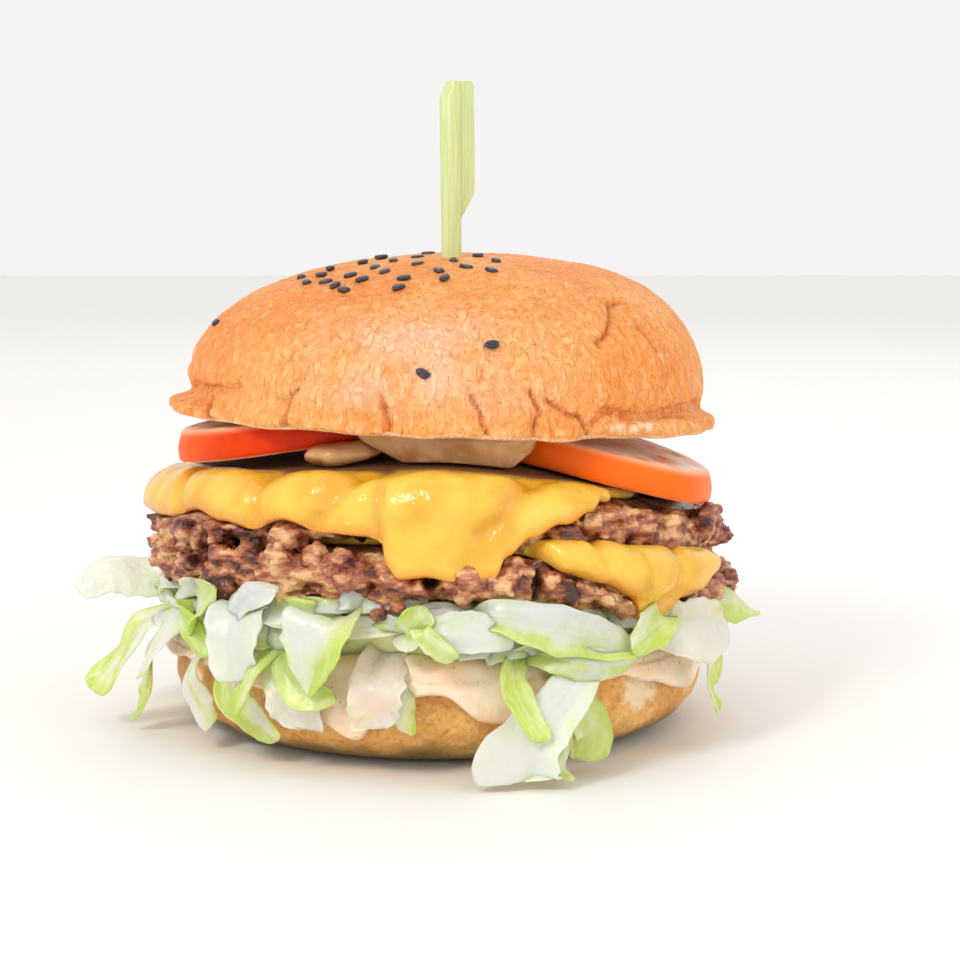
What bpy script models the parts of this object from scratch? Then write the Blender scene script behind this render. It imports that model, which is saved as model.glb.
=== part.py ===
# A double smash burger in a seeded bun, held together by a flat-handled bamboo pick.
# Sizes are millimetres and become metres where a mesh is made. Azimuth 0 is the front
# (-Y), positive towards +X. The filling and the crown lean together on one empty,
# because the stack sits slightly crooked on the lettuce.

import math
import random

import bmesh
import bpy
from mathutils import Vector, noise

MM = 0.001
CLEAR = 0.4

# The lean of patties, cheese, tomatoes and crown, in degrees
STACK_PIVOT = Vector((0.0, 0.0, 30.0))
STACK_PITCH = -2.0
STACK_ROLL = 2.0

# Bun crown, in the leaning frame
CROWN_CENTRE = (-1.4, -1.0)
CROWN_RADIUS = 53.6
CROWN_BELLY = 69.6
CROWN_RISE = 27.7
CROWN_SQUARENESS = 2.2
CROWN_LEAN = 7.6
CROWN_LIP = 62.6
CROWN_RECESS = 9.2
CROWN_STEPS = 42
LIP_TEARS = {-80: 2.2, -33: 1.6, -15: 0.8, 8: 1.2, 18: 2.4, 29: 1.4, 62: 1.0, 118: 1.6,
             -130: 1.8, 165: 1.2}
TEAR_SPREAD = 5.0
DOME_TURNS = (13, 28, 43, 55, 67, 79, 90)
# The lip below the belly as (drop, reach beyond the dome), and the rings of its hollow underside
LIP_RINGS = ((2.8, -0.4), (5.0, 2.2), (6.8, 0.2))
UNDER_RINGS = (50.5, 45.5, 40.0, 24.0)
HOLLOW_RADIUS = 51.5
HOLLOW_SLOPE = 15.0

# Black sesame: half sizes, the dense patch (middle and spread), and loose ones (azimuth, radius)
SEED_HALF = (1.55, 0.95, 0.65)
SEED_PATCH = (-18.0, -25.5, 8.0, 7.0)
PATCH_SEEDS = 21
LOOSE_SEEDS = [(-75, 49.8), (-4.5, 52.9), (9, 50.2), (-70, 36.5), (-69, 31.6), (-15, 29.2), (-6, 13.8),
               (7.5, 19.4), (150, 28), (-120, 34)]
SEED_APART = 3.9
SEED_RAISED = 0.05
SEED_OFF_PICK = 5.0
SEED_REACH = 40.5

# Patties and cheese, in the leaning frame. The ring on their flat is shared so that layers nest.
UPPER_TOP = 55.6
LOWER_TOP = 43.2
LOWER_BOTTOM = 33.6
UPPER_SHOULDER = 3.8
LOWER_SHOULDER = 2.6
UPPER_CHEESE = 2.0
LOWER_CHEESE = 1.8
FLAT_RINGS = (34.0,)
PATTY_STEPS = 54
LAYER_STEPS = 36
RING_GAP = 0.5
CRAG_SIZE = 8.0

# Edge radius of each patty, as (azimuth, radius)
UPPER_EDGE = [(-150, 56.5), (-90, 60.6), (-60, 58.2), (-30, 59.0), (0, 59.4), (18, 58.2),
              (36, 55.8), (60, 54.6), (90, 55.4), (130, 57.4), (170, 57.0)]
LOWER_EDGE = [(-150, 57.6), (-90, 59.6), (-50, 59.2), (-20, 59.0), (8, 58.8), (30, 59.6),
              (60, 57.5), (84, 58.2), (110, 57.0), (160, 58.6)]
# How far each cheese slice reaches past the shoulder of its patty, as (azimuth, length)
UPPER_HANG = [(-170, 1), (-150, 5), (-125, 1), (-100, 3), (-84, 3.8), (-68, 4), (-55, 2.2),
              (-46, 4), (-38, 5.3), (-31, 3.8), (-22, 6.6), (-14, 7.2), (-10, 14.5), (2, 15.6),
              (10, 14), (15, 6), (21, 2.6), (28, 0.5), (34, -2), (42, -7), (70, -12), (95, -6), (112, 1),
              (125, 6), (140, 2)]
LOWER_HANG = [(-165, 4), (-140, 1), (-115, -2), (-90, -7), (-70, -4), (-58, -8), (-35, -7), (-15, -6),
              (5, -5), (14, -3), (22, 1), (30, 2), (37, 4), (43, 10), (50, 4), (62, 1), (78, -2), (95, -1),
              (125, 5)]
# Chunks of meat that stand out of each patty: azimuth, radius, height, half sizes
UPPER_CHUNKS = [(-84, 58.6, 41.4, (3.2, 5.5, 3.2)), (-64, 58.0, 41.8, (4.0, 3.6, 3.4)),
                (88, 54.0, 40.6, (3.2, 4.5, 3.0))]
LOWER_CHUNKS = [(-10, 58.2, 34.5, (3.4, 3.0, 6.8)), (21, 58.0, 35.0, (4.2, 3.2, 4.4)),
                (34, 57.5, 33.0, (5.5, 3.4, 4.6)), (80, 56.6, 31.6, (3.8, 3.6, 2.3))]

# Tomato slices, in the leaning frame: centre, radius and side
TOMATO_THICK = 6.6
TOMATO_STEPS = 28
# A slice's profile as (share of its radius, share of its thickness)
TOMATO_PROFILE = ((0.5, 0), (0.88, 0), (0.98, 0.08), (1.0, 0.4), (0.985, 0.85), (0.94, 1), (0.5, 1))
TOMATO_LEFT = ((-29.0, -13.0), 26.0, -1)
TOMATO_RIGHT = ((26.8, -13.0), 27.4, 1)
# Dressing squeezed out between the slices, seen from above
MAYO_OUTLINE = [(-9, -46.4), (-14, -45), (-18.5, -42), (-19, -37.5), (-14, -32), (-8, -26),
                (-3.4, -19), (2.2, -19), (6.5, -30), (12.5, -36.6), (16.6, -39.2), (16.8, -43),
                (11, -46), (2, -47.4)]
MAYO_MIDDLE = (-1.0, -37.5)
MAYO_PROFILE = ((0.5, 0), (0.86, 0), (1.0, 0.3), (1.0, 0.7), (0.86, 1), (0.5, 1))

# Bottom bun, sauce and lettuce, standing upright
HEEL_CENTRE = (-1.5, 0.0)
HEEL_RADIUS = 55.0
HEEL_BELLY = 12.5
HEEL_TOP = 19.5
HEEL_FOOT = 40.0
HEEL_RIM_DROP = 1.6
SAUCE_THICK = 2.2
SAUCE_BULGE = 1.4
SAUCE_CORNER = 0.8
SAUCE_INNER_RING = 26.0
HEEL_RINGS = (0.0, 0.9, 3.0, 7.0, HEEL_BELLY, 16.5, 18.6)
HEEL_RIM_INSET = 2.6
# How far the sauce runs down the side of the bottom bun, as (azimuth, length)
SAUCE_RUN = [(-170, 6), (-145, 3), (-120, 9), (-95, 3.5), (-70, 5), (-52, 3.5), (-36, 6), (-26, 9),
             (-15, 14), (-8, 6), (1, 5), (9, 10), (18, 11), (28, 6), (38, 4), (48, 7), (60, 10),
             (72, 4), (95, 3.5), (120, 3.5), (150, 9)]
BED_RADIUS = 56.5
BED_RIM = 3.0
BED_STEPS = 30
BED_BOTTOM = HEEL_TOP + SAUCE_THICK + 2 * CLEAR

# Lettuce leaves: the turn of the face about the spine, then the spine as points of
# (azimuth, radius, height, half width). Points over the bed sink into it.
FRONT_LEAVES = {
    "ghost": (75, [(-84, 54, 28, 4), (-84, 62, 30, 4.5), (-83, 70, 31, 4.5), (-82, 77.5, 28, 2)]),
    "left_tip": (15, [(-76, 54, 26, 2.5), (-76, 64, 22, 4), (-77, 69, 14, 4.5), (-78, 75, 8, 3)]),
    "left_hook": (5, [(-70, 54, 25, 2), (-72, 62.5, 18, 2), (-72, 64, 9, 3), (-75, 66, 3.5, 3)]),
    "slant": (0, [(-60, 53, 31, 3), (-63, 61, 26, 4.5), (-68, 65, 17, 4.5), (-71, 66, 12, 1)]),
    "olive": (0, [(-60, 55, 27, 2), (-57, 62.5, 28, 2.3), (-51, 63.5, 25.5, 2.8), (-46, 63.5, 21, 1.6)]),
    "round": (0, [(-52, 53, 27, 4), (-51, 61.8, 28, 4.6), (-48, 63, 32, 4.8), (-46, 62.5, 35, 3)]),
    "rib": (0, [(-44, 54, 27, 2.5), (-42, 61.8, 29, 3), (-37, 62.6, 34, 3), (-31, 62, 35, 2)]),
    "white": (0, [(-45, 54, 26, 4), (-42, 62.5, 26, 5.5), (-36.5, 64.5, 25, 7), (-31, 63.5, 25.5, 5)]),
    "tail": (0, [(-33, 54, 25, 2), (-34, 64, 21, 2.2), (-36, 64.5, 15.5, 2.2), (-39, 64, 11, 1.2)]),
    "pale": (0, [(-30, 54, 27, 4), (-27, 62.5, 27.5, 6.3), (-20, 64.5, 26.5, 7.5), (-14.5, 64, 28, 5)]),
    "sprig": (0, [(-32, 54, 25, 2), (-30, 61.5, 22, 2.6), (-25, 63.5, 16.5, 3.2), (-19, 63.5, 17, 1.5)]),
    "coated": (0, [(-31, 54, 24, 4), (-29, 61.5, 18, 5.5), (-27, 62, 13, 5.5), (-26, 60.5, 9, 3.5)]),
    "low_left": (0, [(-57, 54, 24, 2), (-56, 61, 16, 3), (-54, 60, 9, 3), (-52, 58.5, 5.5, 1.5)]),
    "low_strip": (0, [(-45, 54, 24, 2), (-43, 61, 15, 3), (-38, 60, 9, 3), (-34, 58, 5, 1.5)]),
    "nook": (0, [(-7, 54, 28, 3), (-6, 61.8, 28.5, 3.4), (-4, 62.2, 31.5, 3), (-2, 62, 33, 2)]),
    "middle": (0, [(-6, 54, 28, 3), (-2, 62.5, 29.5, 3.8), (5, 63.8, 29.6, 4.4), (12.5, 63, 29, 3)]),
    "fold": (0, [(-4, 54, 28, 1.5), (-3.5, 64.4, 30, 2), (-1.5, 65, 27.5, 2.2), (2, 64.5, 24.5, 1.4)]),
    "creamed": (0, [(-11, 54, 24, 4), (-11.5, 62.5, 19, 6), (-12, 63, 14, 5.5), (-13, 62.5, 10.5, 2.5)]),
    "nib": (0, [(-7, 54, 23, 2), (-7, 61.5, 15, 2.4), (-6, 61, 9.5, 1.4)]),
    "wave": (0, [(9, 54, 28.5, 3), (14, 62.5, 31, 4.8), (25, 64, 30.5, 5.6), (37, 62.5, 26.5, 3)]),
    "curl": (0, [(46, 54, 28, 3), (44, 61.5, 29, 3.6), (39, 63.5, 27, 4.2), (34, 64.5, 24.5, 2)]),
    "wedge": (0, [(17, 54, 24, 3), (20, 63, 24, 3.6), (28, 64.5, 22, 3.2), (37, 62, 22, 1)]),
    "stem": (0, [(30, 54, 24, 3.5), (25, 63, 20.5, 4), (16, 67, 11.5, 6.2), (12.5, 68, 5, 8.5),
                 (12, 68, 1.6, 7)]),
    "bright": (0, [(15, 54, 24, 2), (12, 64, 20, 3), (13.5, 68.5, 14.5, 3.3), (15.5, 70, 9.5, 1.4)]),
    "drop": (0, [(26, 54, 24, 3), (25.5, 63, 14, 4.5), (27, 64, 8, 4.8), (25, 63.5, 3.5, 1.5)]),
    "scrap": (0, [(23, 54, 24, 2), (21, 64, 10, 1.6), (19, 66, 4, 2), (20, 69, 1.6, 1.4)]),
    "blush": (0, [(42, 54, 27, 4), (47, 62, 26, 6), (54, 63, 25, 7.2), (63, 62.5, 26.5, 4)]),
    "far_right": (35, [(60, 54, 28, 3), (69, 61.5, 27.5, 4), (80, 65.5, 23.5, 1)]),
    "right_curl": (0, [(60, 54, 24, 2), (60, 62, 20, 2), (57, 63, 13, 2.4), (60, 63.5, 7.5, 1.4)]),
    "right_back": (0, [(112, 53, 24, 5), (113, 58.5, 24, 6), (114, 59.5, 18, 3)]),
}
BACK_LEAVES = 8
BACK_SPAN = (126, 258)
LEAF_THICK = 1.0
LEAF_STEPS = 4
LEAF_FLOOR = 0.9
STRIP_HALF = 3.6

# Pick: a square stick and a thin blade on one side of it, turned about its own axis
PICK_PLACE = (1.1, -14.0, 95.4)
PICK_STICK = 3.1
PICK_TOP = 132.3
PICK_TIP = 15.0
PICK_POINT = 9.0
PICK_TURN = 38.0
PICK_LEAN = 0.8
PICK_CHAMFER = (1.6, 3.4)
BLADE_WIDE = 7.1
BLADE_LONG = 22.5
BLADE_TAPER = 6.1
BLADE_THICK = 2.0

CRUST = (242, 170, 104)
CRUMB = (233, 205, 160)
BEEF = (128, 82, 58)
CHEESE = (248, 206, 92)
TOMATO = (238, 84, 30)
CREAM = (240, 226, 196)
SAUCE = (240, 206, 172)
LEAF = (206, 222, 148)
BAMBOO = (236, 238, 176)


def eased(stops, azimuth):
    """Value at an azimuth, eased between (azimuth, value) stops all the way round."""
    first = stops[0][0]
    azimuth = (azimuth - first) % 360 + first
    closed = stops + [(first + 360, stops[0][1])]
    for (low, before), (high, after) in zip(closed, closed[1:]):
        if low <= azimuth <= high:
            share = (azimuth - low) / (high - low)
            return before + (after - before) * share * share * (3 - 2 * share)
    return stops[0][1]


def polar(azimuth, radius, height, centre=(0.0, 0.0)):
    """Point at an azimuth in degrees and a radius from a vertical axis."""
    angle = math.radians(azimuth)
    return Vector((centre[0] + radius * math.sin(angle), centre[1] - radius * math.cos(angle), height))


def azimuths(steps):
    return [-180 + 360 * i / steps for i in range(steps)]


def crumbs(point, size, seed):
    """From 0 in the gaps between crumbs of about that size to 1 on top of them."""
    place = Vector((point.x / size + seed, point.y / size, point.z / size))
    return max(0.0, 1.0 - 1.6 * noise.voronoi(place)[0][0] ** 2)


def ripple(point, size, seed=0.0):
    """Smooth noise from -1 to 1 with waves of about that size."""
    return noise.noise(Vector((point[0] / size + seed, point[1] / size, point[2] / size)))


def leaning(point):
    """The upright place of a point that is given in the leaning frame."""
    turned = Vector(point) - STACK_PIVOT
    turned.rotate(STACK.rotation_euler)
    return turned + STACK_PIVOT


def sag(x, y):
    """Droop of the patties, more on the right where the stack has slipped."""
    return 1.1 * (math.hypot(x, y) / 47) ** 3 + (0.0225 if x > 0 else 0.015) * abs(x) ** 1.5


def upper_top(x, y):
    return UPPER_TOP - sag(x, y)


def lower_top(x, y):
    return LOWER_TOP - 0.85 * sag(x, y)


def upper_bottom(x, y):
    return lower_top(x, y) + LOWER_CHEESE + 2 * CLEAR


def lower_bottom(x, y):
    return LOWER_BOTTOM - 0.55 * sag(x, y)


def bed_top(x, y):
    """Height of the lettuce under the lower patty, in the upright frame."""
    return leaning((x, y, lower_bottom(x, y))).z - CLEAR


def crown_under(x, y):
    """Underside of the crown: a lip, then a hollow pressed up by the filling."""
    radius = math.hypot(x - CROWN_CENTRE[0], y - CROWN_CENTRE[1])
    share = min(1.0, max(0.0, (HOLLOW_RADIUS - radius) / HOLLOW_SLOPE))
    return CROWN_LIP + CROWN_RECESS * math.sin(share * math.pi / 2)


def crown_surface(azimuth, turn):
    """Point on the dome, with turn from 0 at the apex to 90 at the belly."""
    power = 2 / CROWN_SQUARENESS
    angle = math.radians(turn)
    height = CROWN_BELLY + CROWN_RISE * max(0.0, math.cos(angle)) ** power
    point = polar(azimuth, CROWN_RADIUS * math.sin(angle) ** power, height, CROWN_CENTRE)
    point.x += CROWN_LEAN * math.cos(angle) ** 2
    return point


def lip_tear(azimuth):
    """Depth of the tear in the crown's lip at an azimuth."""
    return max(depth * max(0.0, 1 - abs(azimuth - at) / TEAR_SPREAD) for at, depth in LIP_TEARS.items())


def heel_radius(height):
    """Bulging side of the bottom bun between its flat foot and its cut top."""
    if height < HEEL_BELLY:
        share = (HEEL_BELLY - height) / HEEL_BELLY
        return HEEL_FOOT + (HEEL_RADIUS - HEEL_FOOT) * math.sqrt(max(0.0, 1 - share ** 2.3))
    return HEEL_RADIUS - HEEL_RIM_DROP * ((height - HEEL_BELLY) / (HEEL_TOP - HEEL_BELLY)) ** 2


def material(name, colour, roughness):
    """A Principled material from an 8-bit colour as it looks on a screen."""
    made = bpy.data.materials.new(name)
    made.use_nodes = True
    linear = [((part / 255 + 0.055) / 1.055) ** 2.4 for part in colour]
    shader = made.node_tree.nodes["Principled BSDF"]
    shader.inputs["Base Color"].default_value = (*linear, 1.0)
    shader.inputs["Roughness"].default_value = roughness
    made.diffuse_color = (*linear, 1.0)
    return made


def add_piece(name, build, finish, parent=None):
    """A new object from a function that fills a bmesh in millimetres."""
    shape = bmesh.new()
    build(shape)
    bmesh.ops.scale(shape, vec=(MM, MM, MM), verts=shape.verts)
    bmesh.ops.recalc_face_normals(shape, faces=shape.faces)
    mesh = bpy.data.meshes.new(name)
    shape.to_mesh(mesh)
    shape.free()
    mesh.materials.append(finish)
    mesh.shade_smooth()
    made = bpy.data.objects.new(name, mesh)
    bpy.context.scene.collection.objects.link(made)
    made.parent = parent
    return made


def skin(shape, rings, first_pole, last_pole):
    """A closed skin of faces between rings of points, with a fan at each end."""
    loops = [[shape.verts.new(point) for point in ring] for ring in rings]
    for inner, outer in zip(loops, loops[1:]):
        for i, corner in enumerate(inner):
            j = (i + 1) % len(inner)
            shape.faces.new((corner, inner[j], outer[j], outer[i]))
    for pole, ring in ((first_pole, loops[0]), (last_pole, loops[-1])):
        tip = shape.verts.new(pole)
        for i, corner in enumerate(ring):
            shape.faces.new((tip, corner, ring[(i + 1) % len(ring)]))


def apply_modifiers(made):
    bpy.context.view_layer.update()
    bpy.context.view_layer.objects.active = made
    for modifier in list(made.modifiers):
        bpy.ops.object.modifier_apply(modifier=modifier.name)


def keep_largest(made):
    """Drops the loose scraps and sealed bubbles that a Boolean leaves beside the main body."""
    shape = bmesh.new()
    shape.from_mesh(made.data)
    left = set(shape.faces)
    bodies = []
    while left:
        body = [left.pop()]
        for face in body:
            for edge in face.edges:
                fresh = [other for other in edge.link_faces if other in left]
                left.difference_update(fresh)
                body.extend(fresh)
        bodies.append(body)
    bodies.sort(key=len)
    scraps = [face for body in bodies[:-1] for face in body]
    bmesh.ops.delete(shape, geom=scraps, context="FACES")
    shape.to_mesh(made.data)
    shape.free()


def fuse(base, extras):
    """The base with its extras joined on by one applied Boolean union."""
    group = bpy.data.collections.new(base.name + " extras")
    bpy.context.scene.collection.children.link(group)
    for extra in extras:
        bpy.context.scene.collection.objects.unlink(extra)
        group.objects.link(extra)
    union = base.modifiers.new("fuse", "BOOLEAN")
    union.operation = "UNION"
    union.operand_type = "COLLECTION"
    union.collection = group
    union.solver = "MANIFOLD"
    apply_modifiers(base)
    for extra in extras:
        bpy.data.objects.remove(extra)
    bpy.data.collections.remove(group)
    keep_largest(base)


def keep_clear(made, neighbours):
    """Trims a piece to leave a gap to each neighbour that it would touch."""
    bpy.context.view_layer.update()
    graph = bpy.context.evaluated_depsgraph_get()
    for neighbour in neighbours:
        mesh = bpy.data.meshes.new_from_object(neighbour.evaluated_get(graph))
        places = [vert.co + vert.normal * CLEAR * MM for vert in mesh.vertices]
        for vert, place in zip(mesh.vertices, places):
            vert.co = place
        cutter = bpy.data.objects.new("clearance", mesh)
        bpy.context.scene.collection.objects.link(cutter)
        cutter.matrix_world = neighbour.matrix_world
        trim = made.modifiers.new("clearance", "BOOLEAN")
        trim.operation = "DIFFERENCE"
        trim.object = cutter
        trim.solver = "MANIFOLD"
        apply_modifiers(made)
        bpy.data.objects.remove(cutter)
    keep_largest(made)


def bore(made, cutter):
    """The hole that the pick has pushed through a piece."""
    hole = made.modifiers.new("pick hole", "BOOLEAN")
    hole.operation = "DIFFERENCE"
    hole.object = cutter


def build_crown(shape):
    steps = azimuths(CROWN_STEPS)
    rings = [[crown_surface(a, turn) for a in steps] for turn in DOME_TURNS]
    for drop, out in LIP_RINGS:
        ring = []
        for a in steps:
            side = (1.4 if a < 0 else 0.2) * math.sin(math.radians(a)) ** 2
            wave = 0.9 * ripple(polar(a, 9, drop / 3), 3.0)
            reach = CROWN_RADIUS + out + (side + wave - lip_tear(a) if out > 0 else 0)
            ring.append(polar(a, reach, CROWN_BELLY - drop, CROWN_CENTRE))
        rings.append(ring)
    for radius in UNDER_RINGS:
        ring = [polar(a, radius, 0, CROWN_CENTRE) for a in steps]
        for point in ring:
            point.z = crown_under(point.x, point.y)
        rings.append(ring)
    skin(shape, rings, crown_surface(0, 0), (*CROWN_CENTRE, crown_under(*CROWN_CENTRE)))


def seed_turn(radius):
    """How far round the dome from its apex a seed at that radius lies, in degrees."""
    return math.degrees(math.asin(min(1.0, (radius / CROWN_RADIUS) ** (CROWN_SQUARENESS / 2))))


def seed_spots():
    """Azimuth, radius and heading of every sesame seed on the crown."""
    draw = random.Random(11)
    spots = [(azimuth, radius, draw.uniform(0, math.pi)) for azimuth, radius in LOOSE_SEEDS]
    middle_x, middle_y, spread_x, spread_y = SEED_PATCH
    while len(spots) < PATCH_SEEDS + len(LOOSE_SEEDS):
        x, y = draw.gauss(middle_x, spread_x), draw.gauss(middle_y, spread_y)
        azimuth, radius = math.degrees(math.atan2(x, -y)), math.hypot(x, y)
        apart = all((polar(azimuth, radius, 0) - polar(*other[:2], 0)).length > SEED_APART
                    for other in spots)
        place = leaning(crown_surface(azimuth, seed_turn(radius)))
        off_pick = math.hypot(place.x - PICK_PLACE[0], place.y - PICK_PLACE[1]) > SEED_OFF_PICK
        if apart and off_pick and radius < SEED_REACH:
            spots.append((azimuth, radius, draw.uniform(0, math.pi)))
    return spots


def seed_builder(azimuth, radius, heading):
    """Function that fills a bmesh with one seed half sunk in the crust."""
    turn = seed_turn(radius)
    here = crown_surface(azimuth, turn)
    out = (crown_surface(azimuth, turn + 1) - here).cross(crown_surface(azimuth + 1, turn) - here)
    out = out.normalized() * math.copysign(1, out.z)
    side = out.cross(Vector((math.cos(heading), math.sin(heading), 0))).normalized()
    long = side.cross(out)

    def build(shape):
        bmesh.ops.create_uvsphere(shape, u_segments=5, v_segments=3, radius=1.0)
        for vert in shape.verts:
            x, y, z = vert.co.z, vert.co.x, vert.co.y
            vert.co = (here + long * x * SEED_HALF[0] + side * y * (1 - 0.3 * x) * SEED_HALF[1]
                       + out * (SEED_RAISED + z * SEED_HALF[2]))

    return build


def patty_builder(edge, top, bottom, shoulder, bite, seed):
    """Function that fills a bmesh with a craggy patty: its top, round its edge, and back under."""
    def build(shape):
        def flat_ring(radius, surface):
            ring = [polar(a, radius, 0) for a in azimuths(PATTY_STEPS)]
            for point in ring:
                point.z = surface(point.x, point.y)
            return ring

        rings = [flat_ring(radius, top) for radius in FLAT_RINGS]
        for turn in (0, 45, 78, 102, 135, 180):
            out, up = math.sin(math.radians(turn)), math.cos(math.radians(turn))
            ring = []
            for a in azimuths(PATTY_STEPS):
                flat = eased(edge, a) - shoulder
                x, y = polar(a, flat, 0)[:2]
                level = top(x, y) - shoulder if turn < 90 else bottom(x, y) + shoulder
                point = polar(a, flat + shoulder * out, level + shoulder * up)
                crag = bite * (1 - crumbs(point, CRAG_SIZE, seed)) + 0.3 * (1 - ripple(point, 3.0))
                ring.append(polar(a, flat + (shoulder - crag) * out, point.z))
            rings.append(ring)
        rings += [flat_ring(radius, bottom) for radius in reversed(FLAT_RINGS)]
        skin(shape, rings, (0, 0, top(0, 0)), (0, 0, bottom(0, 0)))

    return build


def chunk_builder(azimuth, radius, height, half):
    """Function that fills a bmesh with one rough chunk of meat at a patty's edge."""
    def build(shape):
        bmesh.ops.create_icosphere(shape, subdivisions=2, radius=1.0)
        for vert in shape.verts:
            rough = 1 + 0.22 * ripple(vert.co, 0.7, azimuth)
            local = Vector((vert.co.x * half[0], vert.co.y * half[1], vert.co.z * half[2]))
            vert.co = polar(azimuth, radius, height) + local * rough

    return build


def draped(azimuth, along, radius, top, shoulder, off):
    """Point on a slice laid over a patty: across its top, round its shoulder, then down."""
    flat = radius - shoulder
    turned = shoulder * math.pi / 2
    if along <= flat:
        x, y = polar(azimuth, along, 0)[:2]
        return polar(azimuth, along, top(x, y) + off)
    x, y = polar(azimuth, flat, 0)[:2]
    height = top(x, y)
    if along <= flat + turned:
        angle = (along - flat) / shoulder
        reach = shoulder + off
        return polar(azimuth, flat + reach * math.sin(angle),
                     height - shoulder + reach * math.cos(angle))
    return polar(azimuth, radius + off, height - shoulder - (along - flat - turned))


def cheese_builder(edge, hang, top, shoulder, thick, fold):
    """Function that fills a bmesh with a melted slice draped over a patty's envelope."""
    def build(shape):
        last = len(FLAT_RINGS) + 4

        def ring(stage, off):
            """Rings on the flat, round the shoulder, half way down, and at the edge."""
            points = []
            for a in azimuths(LAYER_STEPS):
                radius = eased(edge, a)
                flat, turned = radius - shoulder, shoulder * math.pi / 2
                length = flat + turned - 2 + eased(hang, a)
                bent = flat + turned
                marks = (*FLAT_RINGS, flat, flat + turned / 2, bent, (bent + length) / 2, length)
                along = min(marks[stage], length - RING_GAP * (last - stage))
                crease = fold * off * (stage > len(FLAT_RINGS)) * ripple((a / 9, along / 16, 0), 1.0, 4.0)
                points.append(draped(a, along, radius, top, shoulder, CLEAR + off * thick + crease))
            return points

        under = [ring(stage, 0) for stage in range(last)]
        over = [ring(stage, 1) for stage in reversed(range(last))]
        centre = Vector((0, 0, top(0, 0) + CLEAR))
        skin(shape, under + [ring(last, 0.5)] + over, centre, centre + Vector((0, 0, thick)))

    return build


def tomato_low(side, x, y):
    """Under face of a slice, lifted wherever the cheese below stands higher."""
    if side < 0:
        lean = 53.3 + 0.2 * (x + 53.2)
    else:
        lean = 56.0 - 0.0031 * max(0.0, x - 5) ** 2 - 0.04 * (x - 5)
    return max(lean, upper_top(x, y) + UPPER_CHEESE + 3 * CLEAR)


def tomato_builder(centre, radius, side):
    """Function that fills a bmesh with one round slice bent over the filling."""
    def build(shape):
        rings = []
        for reach, level in TOMATO_PROFILE:
            ring = []
            for a in azimuths(TOMATO_STEPS):
                wobble = 1 + 0.02 * math.sin(math.radians(3 * a))
                point = polar(a, radius * reach * wobble, 0, centre)
                point.z = tomato_low(side, point.x, point.y) + level * TOMATO_THICK
                ring.append(point)
            rings.append(ring)
        low = tomato_low(side, *centre)
        skin(shape, rings, (*centre, low), (*centre, low + TOMATO_THICK))

    return build


def mayo_height(x, y, level):
    """Height in the dressing, from the cheese below it (0) to the crown above it (1)."""
    low = max(upper_top(x, y) + UPPER_CHEESE + 2 * CLEAR + 0.2, 57.4 + 0.42 * (-9 - x))
    high = max(crown_under(x, y) - CLEAR, low + 0.8)
    return low + (high - low) * level


def build_mayo(shape):
    rings = []
    for share, level in MAYO_PROFILE:
        ring = []
        for x, y in MAYO_OUTLINE:
            x = MAYO_MIDDLE[0] + (x - MAYO_MIDDLE[0]) * share
            y = MAYO_MIDDLE[1] + (y - MAYO_MIDDLE[1]) * share
            ring.append((x, y, mayo_height(x, y, level)))
        rings.append(ring)
    skin(shape, rings, (*MAYO_MIDDLE, mayo_height(*MAYO_MIDDLE, 0)),
         (*MAYO_MIDDLE, mayo_height(*MAYO_MIDDLE, 1)))


def build_heel(shape):
    rings = []
    for height in HEEL_RINGS:
        ring = []
        for a in azimuths(LAYER_STEPS):
            dent = 0.5 * ripple(polar(a, 9, height / 3), 4.0, 5.0) * min(1.0, height / 3)
            ring.append(polar(a, heel_radius(height) + dent, height, HEEL_CENTRE))
        rings.append(ring)
    rim = HEEL_RADIUS - HEEL_RIM_INSET
    rings.append([polar(a, rim, HEEL_TOP, HEEL_CENTRE) for a in azimuths(LAYER_STEPS)])
    skin(shape, rings, (*HEEL_CENTRE, 0), (*HEEL_CENTRE, HEEL_TOP))


def sauce_path(azimuth, along, off):
    """Point on the sauce: out across the cut bread, over its rim and down its side."""
    rim = HEEL_RADIUS - HEEL_RIM_DROP
    if along <= rim:
        return polar(azimuth, along, HEEL_TOP + off, HEEL_CENTRE)
    angle = (along - rim) / (2 * SAUCE_CORNER)
    if angle < math.pi / 2:
        return polar(azimuth, rim + (SAUCE_CORNER + off) * math.sin(angle),
                     HEEL_TOP - SAUCE_CORNER + (SAUCE_CORNER + off) * math.cos(angle), HEEL_CENTRE)
    height = HEEL_TOP - SAUCE_CORNER - (along - rim - math.pi * SAUCE_CORNER)
    return polar(azimuth, heel_radius(height) + SAUCE_CORNER + off, height, HEEL_CENTRE)


def build_sauce(shape):
    rim = HEEL_RADIUS - HEEL_RIM_DROP
    turned = math.pi * SAUCE_CORNER

    def ring(share, off):
        """A ring round the rim's corner at share 0, down to the sauce's lower edge at share 1."""
        points = []
        for a in azimuths(LAYER_STEPS):
            along = rim + turned + (eased(SAUCE_RUN, a) - turned) * share
            bulge = SAUCE_BULGE * math.exp(-((a + 2) / 26) ** 2)
            points.append(sauce_path(a, along, CLEAR + off * (SAUCE_THICK + bulge)))
        return points

    def flat_ring(radius, off):
        return [sauce_path(a, radius, CLEAR + off * SAUCE_THICK) for a in azimuths(LAYER_STEPS)]

    under = [flat_ring(SAUCE_INNER_RING, 0), flat_ring(rim, 0)]
    under += [ring(share, 0) for share in (0, 0.5, 0.9)]
    over = [ring(share, 1) for share in (0.9, 0.5, 0)]
    over += [flat_ring(rim, 1), flat_ring(SAUCE_INNER_RING, 1)]
    centre = sauce_path(0, 0, CLEAR)
    skin(shape, under + [ring(1.0, 0.45)] + over, centre, centre + Vector((0, 0, SAUCE_THICK)))


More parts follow.
